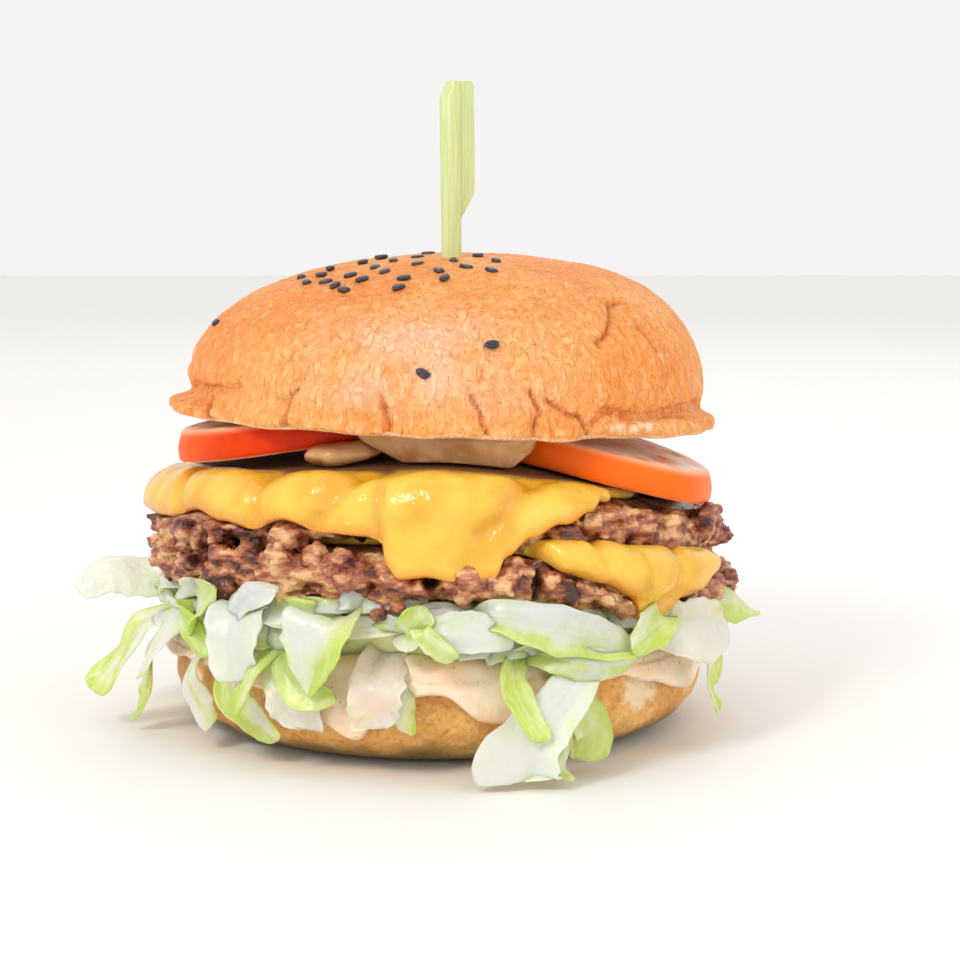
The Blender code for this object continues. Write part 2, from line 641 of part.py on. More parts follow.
def build_bed(shape):
    """The pressed body of the shredded lettuce, between the sauce and the lower patty."""
    steps = azimuths(BED_STEPS)
    low = [polar(a, BED_RADIUS - BED_RIM, BED_BOTTOM) for a in steps]
    edge = []
    for a in steps:
        reach = BED_RADIUS + 1.6 * ripple(polar(a, 9, 0), 2.4, 2.0)
        edge.append(polar(a, reach, BED_BOTTOM + 1.3))
    rings = [low, edge]
    for radius in (BED_RADIUS - BED_RIM, *reversed(FLAT_RINGS)):
        ring = [polar(a, radius, 0) for a in steps]
        for point in ring:
            point.z = bed_top(point.x, point.y) - 0.2
        rings.append(ring)
    skin(shape, rings, (0, 0, BED_BOTTOM), (0, 0, bed_top(0, 0) - 0.2))


def along_spine(spine, share):
    """Azimuth, radius, height and half width a share of the way along a smooth spine."""
    spans = len(spine) - 1
    place = min(max(share, 0.0) * spans, spans - 1e-6)
    i = int(place)
    t = place - i
    before, start, end = spine[max(i - 1, 0)], spine[i], spine[i + 1]
    after = spine[min(i + 2, spans)]
    return [0.5 * (2 * b + (c - a) * t + (2 * a - 5 * b + 4 * c - d) * t ** 2
                   + (3 * b - a - 3 * c + d) * t ** 3)
            for a, b, c, d in zip(before, start, end, after)]


def rooted(spine):
    """The spine with its points over the bed sunk into it, so that the leaf grows out of the bed."""
    placed = []
    for azimuth, radius, height, half in spine:
        if radius < BED_RADIUS - 1:
            x, y = polar(azimuth, radius, 0)[:2]
            height = min(max(height, BED_BOTTOM + 0.9), bed_top(x, y) - 1.2)
        placed.append((azimuth, radius, height, half))
    return placed


def leaf_builder(twist, spine, seed):
    """Function that fills a bmesh with one thin wavy leaf, split into triangles alike on both faces."""
    spine = rooted(spine)
    columns = (-1, 1) if max(point[3] for point in spine) < STRIP_HALF else (-1, 0, 1)

    def build(shape):
        rows = []
        for i in range(LEAF_STEPS + 1):
            share = i / LEAF_STEPS
            azimuth, radius, height, half = along_spine(spine, share)
            ahead = polar(*along_spine(spine, min(1.0, share + 0.06))[:3])
            behind = polar(*along_spine(spine, max(0.0, share - 0.06))[:3])
            along = (ahead - behind).normalized()
            out = polar(azimuth, 1, 0.35)
            out = (out - along * out.dot(along)).normalized()
            across = along.cross(out)
            turn = math.radians(twist)
            turned = across * math.cos(turn) + out * math.sin(turn)
            out = out * math.cos(turn) - across * math.sin(turn)
            row = []
            for s in columns:
                wave = 1.1 * s * math.sin(share * 9 + seed * 2.4) - 0.8 * abs(s)
                point = polar(azimuth, radius, height) + turned * s * max(half, 0.8) + out * wave
                point.z = max(point.z, LEAF_FLOOR)
                row.append((point, out * LEAF_THICK / 2))
            rows.append(row)
        front = [[shape.verts.new(point + shift) for point, shift in row] for row in rows]
        back = [[shape.verts.new(point - shift) for point, shift in row] for row in rows]
        for sheet in (front, back):
            for near, far in zip(sheet, sheet[1:]):
                for j in range(len(columns) - 1):
                    shape.faces.new((near[j], near[j + 1], far[j + 1]))
                    shape.faces.new((near[j], far[j + 1], far[j]))
        rims = [[row[0] for row in sheet] + sheet[-1][1:-1] + [row[-1] for row in reversed(sheet)]
                + sheet[0][1:-1] for sheet in (front, back)]
        for i, corner in enumerate(rims[0]):
            j = (i + 1) % len(rims[0])
            shape.faces.new((corner, rims[0][j], rims[1][j]))
            shape.faces.new((corner, rims[1][j], rims[1][i]))

    return build


def back_leaves():
    """Leaves round the sides and back, which the front leaves don't reach, drawn by a seeded rule."""
    draw = random.Random(5)
    leaves = []
    for i in range(BACK_LEAVES):
        azimuth = BACK_SPAN[0] + (BACK_SPAN[1] - BACK_SPAN[0]) * (i + 0.5) / BACK_LEAVES
        turn, wide, end = draw.uniform(-7, 7), draw.uniform(4.0, 7.0), draw.uniform(5, 18)
        leaves.append((0, [(azimuth, 53, 26, 0.6 * wide), (azimuth + turn / 2, 61.5, 25.5, wide),
                           (azimuth + turn, 64, (25 + end) / 2, wide),
                           (azimuth + 1.4 * turn, 65, end, 1.2)]))
    return leaves


def prism_builder(outline, thick):
    """Function that fills a bmesh with an outline in X and Z given thickness in Y."""
    def build(shape):
        face = shape.faces.new([shape.verts.new((x, thick / 2, z)) for x, z in outline])
        moved = bmesh.ops.extrude_face_region(shape, geom=[face])["geom"]
        verts = [item for item in moved if isinstance(item, bmesh.types.BMVert)]
        bmesh.ops.translate(shape, vec=(0, -thick, 0), verts=verts)

    return build


def pick_frame():
    """The empty that the pick and its hole turn and lean on."""
    frame = bpy.data.objects.new("pick frame", None)
    bpy.context.scene.collection.objects.link(frame)
    lean = math.radians(PICK_LEAN)
    frame.location = Vector((PICK_PLACE[0] + PICK_PLACE[2] * math.sin(lean), PICK_PLACE[1], 0)) * MM
    frame.rotation_euler = (0, -lean, math.radians(PICK_TURN))
    return frame


def make_pick(frame, finish):
    half = PICK_STICK / 2
    wide = BLADE_WIDE - half
    cut, drop = PICK_CHAMFER
    top = PICK_TOP - 0.3
    stick = [(0, PICK_TIP), (half, PICK_TIP + PICK_POINT), (half, top), (cut - half, top),
             (-half, top - drop), (-half, PICK_TIP + PICK_POINT)]
    low = PICK_TOP - BLADE_LONG
    blade = [(0, low - BLADE_TAPER), (half, low - BLADE_TAPER), (wide, low), (wide, PICK_TOP - 1),
             (wide - 1, PICK_TOP), (0, PICK_TOP)]
    pick = add_piece("pick", prism_builder(stick, PICK_STICK), finish, frame)
    fuse(pick, [add_piece("blade", prism_builder(blade, BLADE_THICK), finish, frame)])
    pick.data.shade_flat()
    return pick


def make_hole(frame, finish):
    """Cutter for the square hole that the pick needs through every layer."""
    half = PICK_STICK / 2 + CLEAR
    ends = (PICK_TIP - 1, PICK_TOP - BLADE_LONG - BLADE_TAPER - 2)
    outline = [(-half, ends[0]), (half, ends[0]), (half, ends[1]), (-half, ends[1])]
    hole = add_piece("pick hole", prism_builder(outline, 2 * half), finish, frame)
    hole.hide_render = True
    hole.display_type = "WIRE"
    return hole


for old in list(bpy.data.objects):
    bpy.data.objects.remove(old)

STACK = bpy.data.objects.new("leaning stack", None)
bpy.context.scene.collection.objects.link(STACK)
STACK.rotation_euler = (math.radians(STACK_PITCH), math.radians(STACK_ROLL), 0)
pivot = STACK_PIVOT.copy()
pivot.rotate(STACK.rotation_euler)
STACK.location = (STACK_PIVOT - pivot) * MM

crust = material("baked crust", CRUST, 0.6)
seed_black = material("black sesame", (60, 44, 44), 0.4)
crumb = material("toasted crumb", CRUMB, 0.8)
beef = material("seared beef", BEEF, 0.5)
melted = material("melted cheese", CHEESE, 0.3)
tomato_red = material("tomato", TOMATO, 0.3)
cream = material("mayonnaise", CREAM, 0.3)
pink_sauce = material("burger sauce", SAUCE, 0.3)
leaf_green = material("lettuce", LEAF, 0.4)
bamboo = material("bamboo", BAMBOO, 0.5)

crown = add_piece("bun_crown", build_crown, crust, STACK)
fuse(crown, [add_piece("seed", seed_builder(*spot), seed_black, STACK) for spot in seed_spots()])

patty_upper = add_piece(
    "patty_upper",
    patty_builder(UPPER_EDGE, upper_top, upper_bottom, UPPER_SHOULDER, 2.0, 3.0), beef, STACK)
patty_lower = add_piece(
    "patty_lower",
    patty_builder(LOWER_EDGE, lower_top, lower_bottom, LOWER_SHOULDER, 1.8, 8.0), beef, STACK)
cheese_upper = add_piece(
    "cheese_upper",
    cheese_builder(UPPER_EDGE, UPPER_HANG, upper_top, UPPER_SHOULDER, UPPER_CHEESE, 0.7), melted, STACK)
cheese_lower = add_piece(
    "cheese_lower",
    cheese_builder(LOWER_EDGE, LOWER_HANG, lower_top, LOWER_SHOULDER, LOWER_CHEESE, 0.4), melted, STACK)
for patty, table in ((patty_upper, UPPER_CHUNKS), (patty_lower, LOWER_CHUNKS)):
    chunks = [add_piece("chunk", chunk_builder(*chunk), beef, STACK) for chunk in table]
    for chunk in chunks:
        keep_clear(chunk, [cheese_lower, cheese_upper])
    fuse(patty, chunks)

tomato_left = add_piece("tomato_left", tomato_builder(*TOMATO_LEFT), tomato_red, STACK)
tomato_right = add_piece("tomato_right", tomato_builder(*TOMATO_RIGHT), tomato_red, STACK)
mayo = add_piece("mayo", build_mayo, cream, STACK)
keep_clear(mayo, [tomato_left, tomato_right, crown, cheese_upper])

heel = add_piece("bun_heel", build_heel, crumb)
sauce = add_piece("sauce", build_sauce, pink_sauce)
lettuce = add_piece("lettuce", build_bed, leaf_green)
leaves = list(FRONT_LEAVES.values()) + back_leaves()
fuse(lettuce, [add_piece("leaf", leaf_builder(*leaf, seed), leaf_green)
               for seed, leaf in enumerate(leaves)])
keep_clear(lettuce, [patty_lower, cheese_lower, cheese_upper, sauce, heel])

PICK_FRAME = pick_frame()
pick = make_pick(PICK_FRAME, bamboo)
pick_hole = make_hole(PICK_FRAME, bamboo)
for layer in (crown, mayo, tomato_left, tomato_right, cheese_upper, patty_upper, cheese_lower,
              patty_lower, lettuce, sauce, heel):
    bore(layer, pick_hole)
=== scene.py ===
import math
import random

import bpy
import numpy as np
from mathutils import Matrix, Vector, kdtree, noise


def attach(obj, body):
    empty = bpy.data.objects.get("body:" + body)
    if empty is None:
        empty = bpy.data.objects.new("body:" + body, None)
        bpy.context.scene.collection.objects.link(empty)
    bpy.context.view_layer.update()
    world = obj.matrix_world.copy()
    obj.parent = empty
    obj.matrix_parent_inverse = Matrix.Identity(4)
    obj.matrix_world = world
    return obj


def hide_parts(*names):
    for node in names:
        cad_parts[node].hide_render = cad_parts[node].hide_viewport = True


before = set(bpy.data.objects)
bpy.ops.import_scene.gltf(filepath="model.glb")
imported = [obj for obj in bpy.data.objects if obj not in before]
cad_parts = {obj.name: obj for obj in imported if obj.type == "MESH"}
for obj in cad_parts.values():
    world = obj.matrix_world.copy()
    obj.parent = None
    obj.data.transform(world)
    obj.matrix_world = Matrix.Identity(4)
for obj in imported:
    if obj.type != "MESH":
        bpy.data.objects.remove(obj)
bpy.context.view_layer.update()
mm = 0.001

# camera at the photograph's angle, pale floor and soft light
view = {"target": (0.0071, 0.0, 0.0495), "distance": 0.55, "elevation": 8.0, "lens": 98.2}
elevation = math.radians(view["elevation"])
bpy.ops.object.camera_add(
    location=(view["target"][0], -view["distance"] * math.cos(elevation),
              view["target"][2] + view["distance"] * math.sin(elevation)),
    rotation=(math.pi / 2 - elevation, 0, 0))
camera = bpy.context.object
camera.data.lens = view["lens"]
camera.data.clip_start = 0.01
bpy.context.scene.camera = camera
bpy.context.scene.view_settings.view_transform = "Standard"

studio = {"skyColour": (1.0, 0.985, 0.97), "skyStrength": 0.92, "floorSize": 3.0}
world = bpy.data.worlds.new("studio")
bpy.context.scene.world = world
world.use_nodes = True
sky = world.node_tree.nodes["Background"]
sky.inputs["Color"].default_value = (*studio["skyColour"], 1)
sky.inputs["Strength"].default_value = studio["skyStrength"]


def softLight(name, place, aim, size, watts, colour):
    bpy.ops.object.light_add(type="AREA", location=place)
    lamp = bpy.context.object
    lamp.name = name
    lamp.data.size = size
    lamp.data.energy = watts
    lamp.data.color = colour
    lamp.rotation_euler = (Vector(aim) - Vector(place)).to_track_quat("-Z", "Y").to_euler()


softLight("keyLight", (-0.42, -0.62, 0.62), (0, 0, 0.05), 0.22, 3.1, (1.0, 0.98, 0.95))
softLight("fillLight", (0.60, -0.50, 0.30), (0, 0, 0.05), 0.60, 1.1, (1.0, 0.98, 0.96))
softLight("backLight", (0.15, 0.65, 0.60), (0, 0, 0.07), 0.50, 0.8, (1.0, 0.99, 0.97))


# materials
def screen(red, green, blue):  # an 8-bit screen colour as linear light
    return (*[((part / 255 + 0.055) / 1.055) ** 2.4 for part in (red, green, blue)], 1.0)


def newNode(tree, kind, values=None, **settings):
    made = tree.nodes.new(kind)
    for name, value in settings.items():
        setattr(made, name, value)
    for name, value in (values or {}).items():
        made.inputs[name].default_value = value
    return made


def newFinish(name, roughness, **constants):
    finish = bpy.data.materials.new(name)
    finish.use_nodes = True
    shader = finish.node_tree.nodes["Principled BSDF"]
    shader.inputs["Roughness"].default_value = roughness
    for socket, value in constants.items():
        shader.inputs[socket.replace("_", " ")].default_value = value
    return finish, finish.node_tree, shader


def feed(tree, socket, value):  # a link from another node, or a plain value
    if isinstance(value, bpy.types.NodeSocket):
        tree.links.new(value, socket)
    else:
        socket.default_value = value


def speckle(tree, size, detail=3.0, stretch=(1, 1, 1), seed=0.0, cells=False):
    # a noise or cell texture on object coordinates, with features of that size in millimetres
    place = newNode(tree, "ShaderNodeTexCoord")
    mapping = newNode(tree, "ShaderNodeMapping", {"Location": (seed, seed / 2, 0), "Scale": stretch})
    kind = "ShaderNodeTexVoronoi" if cells else "ShaderNodeTexNoise"
    texture = newNode(tree, kind, {"Scale": 1 / (size * mm)})
    if not cells:
        texture.inputs["Detail"].default_value = detail
    tree.links.new(place.outputs["Object"], mapping.inputs["Vector"])
    tree.links.new(mapping.outputs["Vector"], texture.inputs["Vector"])
    return texture.outputs["Distance" if cells else "Fac"]


def ramp(tree, source, stops):  # screen colours along a value
    made = newNode(tree, "ShaderNodeValToRGB")
    while len(made.color_ramp.elements) < len(stops):
        made.color_ramp.elements.new(0.5)
    for element, (at, colour) in zip(made.color_ramp.elements, stops):
        element.position = at
        element.color = screen(*colour)
    tree.links.new(source, made.inputs["Fac"])
    return made.outputs["Color"]


def mixed(tree, factor, first, second):
    made = newNode(tree, "ShaderNodeMix", data_type="RGBA")
    for index, value in ((0, factor), (6, first), (7, second)):
        feed(tree, made.inputs[index], value)
    return made.outputs[2]


def span(tree, source, low, high, outLow=0.0, outHigh=1.0):
    made = newNode(tree, "ShaderNodeMapRange", {1: low, 2: high, 3: outLow, 4: outHigh})
    tree.links.new(source, made.inputs[0])
    return made.outputs[0]


def sums(tree, kind, first, second):
    made = newNode(tree, "ShaderNodeMath", operation=kind)
    feed(tree, made.inputs[0], first)
    feed(tree, made.inputs[1], second)
    return made.outputs[0]


def surfaceValue(tree, name):  # a float kept on the mesh's points
    return newNode(tree, "ShaderNodeAttribute", attribute_name=name).outputs["Fac"]


def over(tree, base, colour, mask):  # a colour laid over the base where the mask or the kept value is high
    mask = surfaceValue(tree, mask) if isinstance(mask, str) else mask
    return mixed(tree, mask, base, screen(*colour))


def surfaced(tree, shader, base, height, depth):  # the colour and the relief, in millimetres
    tree.links.new(base, shader.inputs["Base Color"])
    made = newNode(tree, "ShaderNodeBump", {"Strength": 1.0, "Distance": depth * mm})
    tree.links.new(height, made.inputs["Height"])
    tree.links.new(made.outputs["Normal"], shader.inputs["Normal"])


def makeCrust():
    look = {"orange": (248, 150, 66), "light": (253, 174, 94), "speck": (255, 206, 154),
            "pink": (255, 198, 162), "brown": (228, 124, 50), "line": (186, 88, 38), "crumb": (248, 220, 184),
            "torn": (252, 190, 124)}
    finish, tree, shader = newFinish("bakedCrust", 0.55, Specular_IOR_Level=0.35)
    broad = speckle(tree, 20, 3)
    base = ramp(tree, broad, [(0.36, look["orange"]), (0.62, look["light"])])
    base = over(tree, base, look["pink"], "pink")
    pores = speckle(tree, 1.7, 5, (1, 1, 0.6))
    base = over(tree, base, look["speck"], span(tree, pores, 0.54, 0.70, 0, 0.55))
    base = over(tree, base, look["brown"], span(tree, pores, 0.46, 0.32, 0, 0.45))
    lines = []
    for size, seed, wide in ((3.4, 3.0, 0.05), (1.9, 8.0, 0.07)):  # fine wrinkles run mostly up and down
        fold = speckle(tree, size, 3, (1, 1, 0.5), seed)
        lines.append(span(tree, sums(tree, "ABSOLUTE", sums(tree, "SUBTRACT", fold, 0.5), 0.0), 0.0, wide))
    wrinkle = sums(tree, "MINIMUM", *lines)
    # painted shade: brown laid into the fine wrinkle grooves
    base = over(tree, base, look["brown"], span(tree, wrinkle, 1.0, 0.0, 0, 0.20))
    base = over(tree, base, look["torn"], "torn")
    base = over(tree, base, look["crumb"], "crumb")
    # painted shade: dark line colour in the cracks and, fainter, in the folds
    base = over(tree, base, look["line"], "shadedCrack")
    relief = sums(tree, "ADD", sums(tree, "MULTIPLY", wrinkle, 0.28), sums(tree, "MULTIPLY", pores, 1.7))
    relief = sums(tree, "ADD", relief, sums(tree, "MULTIPLY", speckle(tree, 4.5, 3), 1.1))
    surfaced(tree, shader, base, relief, 0.9)
    return finish


def makeBeef():
    # gap is the near-black of painted shade in crevices, hollows and pits
    look = {"dark": (64, 26, 18), "red": (140, 66, 42), "brown": (190, 118, 76), "tan": (232, 184, 128),
            "gap": (30, 13, 9)}
    finish, tree, shader = newFinish("searedBeef", 0.4, Coat_Weight=0.4, Coat_Roughness=0.2)
    strand = speckle(tree, 2.8, 7, (0.6, 0.6, 1.6))
    tone = sums(tree, "ADD", sums(tree, "MULTIPLY", surfaceValue(tree, "crumbTone"), 0.55),
                span(tree, strand, 0.32, 0.66, -0.10, 0.62))
    base = ramp(tree, tone, [(0.14, look["dark"]), (0.38, look["red"]),
                             (0.60, look["brown"]), (0.88, look["tan"])])
    # painted shade: near-black in the crevices between crumbs
    base = over(tree, base, look["gap"], "shadedCrevice")
    # painted shade: near-black in the hollows of the rim and in the pits
    base = over(tree, base, look["gap"], "gap")
    wet = speckle(tree, 2.0, 3, seed=5.0)
    tree.links.new(span(tree, wet, 0.4, 0.6, 0.6, 0.2), shader.inputs["Roughness"])
    relief = sums(tree, "ADD", strand, sums(tree, "MULTIPLY", speckle(tree, 0.8, 3), 0.5))
    surfaced(tree, shader, base, relief, 1.0)
    return finish


def makeCheese():
    look = {"yellow": (228, 170, 40), "light": (244, 198, 76), "deep": (216, 128, 24), "inside": (92, 46, 18)}
    finish, tree, shader = newFinish(
        "meltedCheese", 0.24, Subsurface_Weight=0.3, Subsurface_Radius=(1.0, 0.62, 0.16),
        Subsurface_Scale=0.003, Specular_IOR_Level=0.6)
    broad = speckle(tree, 9, 2)
    base = ramp(tree, broad, [(0.35, look["yellow"]), (0.65, look["light"])])
    # painted shade: deeper orange in the folds; also deeper orange at the lower edge of the drape
    base = over(tree, base, look["deep"], "thin")
    # painted shade: dark brown on the cheese top under the tomato and the bun
    base = over(tree, base, look["inside"], "inside")
    oil = speckle(tree, 4, 3, seed=2.0)
    gloss = sums(tree, "ADD", span(tree, oil, 0.4, 0.62, 0.30, 0.12),
                 sums(tree, "MULTIPLY", surfaceValue(tree, "inside"), 0.8))
    tree.links.new(gloss, shader.inputs["Roughness"])
    relief = sums(tree, "ADD", speckle(tree, 3.2, 3, seed=1.0),
                  sums(tree, "MULTIPLY", speckle(tree, 0.8, 2), 0.2))
    surfaced(tree, shader, base, relief, 0.5)
    return finish


def makeTomato():
    look = {"skin": (220, 60, 0), "deep": (200, 42, 0), "warm": (255, 112, 22), "edge": (254, 178, 130),
            "flesh": (255, 214, 190), "wet": (252, 150, 104), "core": (255, 240, 226)}
    finish, tree, shader = newFinish(
        "ripeTomato", 0.36, Subsurface_Weight=0.1, Subsurface_Radius=(1.0, 0.3, 0.08),
        Subsurface_Scale=0.002, Specular_IOR_Level=0.14)
    streak = speckle(tree, 9.0, 3, (1, 1, 0.8))
    skin = ramp(tree, streak, [(0.35, look["deep"]), (0.6, look["skin"])])
    skin = over(tree, skin, look["warm"], "lit")
    cells = speckle(tree, 5.5, cells=True)
    flesh = ramp(tree, cells, [(0.1, look["wet"]), (0.4, look["flesh"]),
                               (0.75, look["core"])])
    base = mixed(tree, surfaceValue(tree, "cutFace"), skin, flesh)
    # painted highlight: a pale band round the rim of the top cut face
    base = over(tree, base, look["edge"], "rimHighlight")
    surfaced(tree, shader, base, sums(tree, "ADD", streak, sums(tree, "MULTIPLY", cells, 0.6)), 0.12)
    return finish


def makeLeaf():
    look = {"white": (230, 240, 214), "pale": (225, 241, 190), "green": (201, 225, 122),
            "deep": (166, 203, 74), "blush": (254, 220, 188), "vein": (242, 248, 230)}
    finish, tree, shader = newFinish(
        "crispLettuce", 0.36, Subsurface_Weight=0.65, Subsurface_Radius=(0.9, 1.0, 0.55),
        Subsurface_Scale=0.004, Coat_Weight=0.15, Coat_Roughness=0.15)
    mottle = sums(tree, "ADD", sums(tree, "MULTIPLY", speckle(tree, 6.0, 2), 0.6),
                  sums(tree, "MULTIPLY", speckle(tree, 2.2, 3, (1, 1, 0.6)), 0.4))
    tone = sums(tree, "ADD", surfaceValue(tree, "green"), span(tree, mottle, 0.36, 0.64, -0.18, 0.18))
    base = ramp(tree, tone, [(0.14, look["white"]), (0.34, look["pale"]),
                             (0.60, look["green"]), (1.0, look["deep"])])
    base = over(tree, base, look["vein"], "vein")
    base = over(tree, base, look["blush"], "blush")
    relief = sums(tree, "ADD", speckle(tree, 2.4, 2, (1, 1, 0.5)),
                  sums(tree, "MULTIPLY", surfaceValue(tree, "vein"), 0.9))
    surfaced(tree, shader, base, relief, 0.5)
    return finish


def makeSauce(name, look, fleck):
    finish, tree, shader = newFinish(
        name, 0.3, Subsurface_Weight=0.3, Subsurface_Radius=(1.0, 0.7, 0.5), Subsurface_Scale=0.003,
        Coat_Weight=0.15, Coat_Roughness=0.12)
    broad = speckle(tree, 8, 3)
    base = ramp(tree, broad, [(0.36, look["deep"]), (0.62, look["light"])])
    dots = speckle(tree, 2.6, cells=True)
    base = over(tree, base, look["fleck"], span(tree, dots, 0.10, 0.05, 0, fleck))
    surfaced(tree, shader, base, speckle(tree, 3.5, 3, seed=4.0), 0.6)
    return finish


def makeHeel():
    look = {"crust": (222, 148, 58), "light": (242, 188, 106), "crumb": (246, 222, 180),
            "under": (118, 102, 58), "pore": (190, 112, 34)}
    finish, tree, shader = newFinish("toastedHeel", 0.55)
    broad = speckle(tree, 12, 4)
    base = ramp(tree, broad, [(0.38, look["crust"]), (0.62, look["light"])])
    pores = speckle(tree, 1.2, 5)
    base = over(tree, base, look["pore"], span(tree, pores, 0.45, 0.30, 0, 0.6))
    base = over(tree, base, look["crumb"], span(tree, pores, 0.56, 0.72, 0, 0.6))
    base = over(tree, base, look["crumb"], "crumb")
    # painted shade: olive-grey on the lower side of the heel
    base = over(tree, base, look["under"], "under")
    surfaced(tree, shader, base, sums(tree, "ADD", pores, speckle(tree, 3.5, 3)), 0.7)
    return finish


def makeBamboo():
    look = {"light": (214, 220, 164), "dark": (192, 203, 128), "line": (180, 191, 114)}
    finish, tree, shader = newFinish("freshBamboo", 0.42, Coat_Weight=0.1, Coat_Roughness=0.3)
    fibre = speckle(tree, 0.5, 3, (1, 1, 0.03))
    base = ramp(tree, fibre, [(0.35, look["dark"]), (0.62, look["light"])])
    broad = speckle(tree, 5, 2, (1, 1, 0.15))
    base = over(tree, base, look["line"], span(tree, broad, 0.55, 0.75, 0, 0.5))
    surfaced(tree, shader, base, fibre, 0.12)
    return finish


def makeSesame():
    look = {"black": (36, 30, 42), "worn": (74, 66, 84)}
    finish, tree, shader = newFinish("blackSesame", 0.36, Coat_Weight=0.2)
    grain = speckle(tree, 0.5, 3)
    base = ramp(tree, grain, [(0.45, look["black"]), (0.75, look["worn"])])
    surfaced(tree, shader, base, grain, 0.1)
    return finish


# shaping tools
def around(steps):  # azimuths in degrees, all the way round
    return -180 + 360 * np.arange(steps) / steps


def polar(azimuth, radius, height, centre=(0.0, 0.0)):
    angle = np.radians(azimuth)
    x = centre[0] + radius * np.sin(angle)
    y = centre[1] - radius * np.cos(angle)
    return np.stack(np.broadcast_arrays(x, y, height), axis=-1).astype(float)


def azimuthOf(points, centre=(0.0, 0.0)):
    return np.degrees(np.arctan2(points[:, 0] - centre[0], -(points[:, 1] - centre[1])))


def ringOn(surface, azimuth, radius, centre=(0.0, 0.0)):  # a ring that lies on a surface
    ring = polar(azimuth, radius, 0.0, centre)
    ring[:, 2] = surface(ring[:, 0], ring[:, 1])
    return ring


def eased(stops, azimuth):  # a value at each azimuth, eased between (azimuth, value) stops
    at = np.array([stop[0] for stop in stops] + [stops[0][0] + 360.0])
    values = np.array([stop[1] for stop in stops] + [stops[0][1]], float)
    wrapped = (np.asarray(azimuth, float) - at[0]) % 360 + at[0]
    i = np.clip(np.searchsorted(at, wrapped, side="right") - 1, 0, len(stops) - 1)
    share = (wrapped - at[i]) / (at[i + 1] - at[i])
    return values[i] + (values[i + 1] - values[i]) * share ** 2 * (3 - 2 * share)


def ripple(points, size, seed=0.0):  # smooth noise from about -1 to 1 at each point
    places = points.reshape(-1, 3) / size + np.array([seed, 0, 0])
    return np.array([noise.noise(place) for place in places.tolist()]).reshape(points.shape[:-1])


def between(low, high, values):  # 0 below low, 1 above high, smooth in between
    share = np.clip((values - low) / (high - low), 0, 1)
    return share ** 2 * (3 - 2 * share)


def curved(before, start, end, after, t):  # a smooth curve from start to end, t from 0 to 1
    return 0.5 * (2 * start + (end - before) * t + (2 * before - 5 * start + 4 * end - after) * t ** 2
                  + (3 * start - before - 3 * end + after) * t ** 3)


def lofted(keys, counts):  # rings on a smooth curve through key rings, so many in each stretch
    rings = []
    for i, count in enumerate(counts):
        before, start = keys[max(i - 1, 0)], keys[i]
        end, after = keys[i + 1], keys[min(i + 2, len(keys) - 1)]
        rings += [curved(before, start, end, after, step / count) for step in range(count)]
    rings.append(keys[-1])
    return np.array(rings)


def deselectAll():
    bpy.ops.object.select_all(action="DESELECT")


def selectOnly(*pieces):  # the first becomes the active one
    deselectAll()
    for piece in pieces:
        piece.select_set(True)
    bpy.context.view_layer.objects.active = pieces[0]


def meshPoints(piece):
    points = np.empty(len(piece.data.vertices) * 3)
    piece.data.vertices.foreach_get("co", points)
    return points.reshape(-1, 3) / mm


def meshNormals(piece):
    normals = np.empty(len(piece.data.vertices) * 3, np.float32)
    piece.data.vertices.foreach_get("normal", normals)
    return normals.reshape(-1, 3).astype(float)


def setPoints(piece, points):
    piece.data.vertices.foreach_set("co", (points * mm).astype(np.float32).ravel())
    piece.data.update()


def setValue(piece, name, values):
    kept = piece.data.attributes.get(name) or piece.data.attributes.new(name, "FLOAT", "POINT")
    kept.data.foreach_set("value", np.asarray(values, np.float32).ravel())


def ballAround(name, rings, top, bottom):  # a sphere whose rings are pulled to the given places, top first
    count, segments = rings.shape[:2]
    deselectAll()
    bpy.ops.mesh.primitive_uv_sphere_add(segments=segments, ring_count=count + 1, radius=mm)
    piece = bpy.context.object
    piece.name = name
    ball = meshPoints(piece)
    level = np.rint(np.degrees(np.arccos(np.clip(ball[:, 2], -1, 1))) / 180 * (count + 1)).astype(int)
    heading = np.degrees(np.arctan2(ball[:, 0], -ball[:, 1])) + 180
    spot = np.rint(heading / 360 * segments).astype(int) % segments
    points = rings[np.clip(level - 1, 0, count - 1), spot]
    points[level == 0] = top
    points[level == count + 1] = bottom
    setPoints(piece, points)
    selectOnly(piece)
    bpy.ops.object.mode_set(mode="EDIT")
    bpy.ops.mesh.select_all(action="SELECT")
    bpy.ops.mesh.normals_make_consistent(inside=False)
    bpy.ops.object.mode_set(mode="OBJECT")
    bpy.ops.object.shade_smooth()
    return piece


def applyAll(piece):
    selectOnly(piece)
    for modifier in list(piece.modifiers):
        bpy.ops.object.modifier_apply(modifier=modifier.name)


def joinAll(pieces, name):
    selectOnly(*pieces)
    bpy.ops.object.join()
    pieces[0].name = name
    return pieces[0]


def dress(piece, finish, slot, *nodes):
    piece.data.materials.clear()
    piece.data.materials.append(finish)
    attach(piece, "root")
    if nodes:
        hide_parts(*nodes)


def grooves(azimuth, height, lines):  # 0 to 1 near lines of (azimuth, height) points, each with a width
    found = np.zeros(np.shape(azimuth))
    for width, line in lines:
        for (a0, h0), (a1, h1) in zip(line, line[1:]):
            dx, dy = (azimuth - a0) * 0.95, height - h0
            sx, sy = (a1 - a0) * 0.95, h1 - h0
            t = np.clip((dx * sx + dy * sy) / (sx * sx + sy * sy), 0, 1)
            away = np.hypot(dx - t * sx, dy - t * sy)
            found = np.maximum(found, np.exp(-(away / width) ** 2))
    return found


# the lean of everything above the lettuce
stack = {"pivot": np.array([0.0, 0.0, 30.0]), "pitch": -2.0, "roll": 2.0}


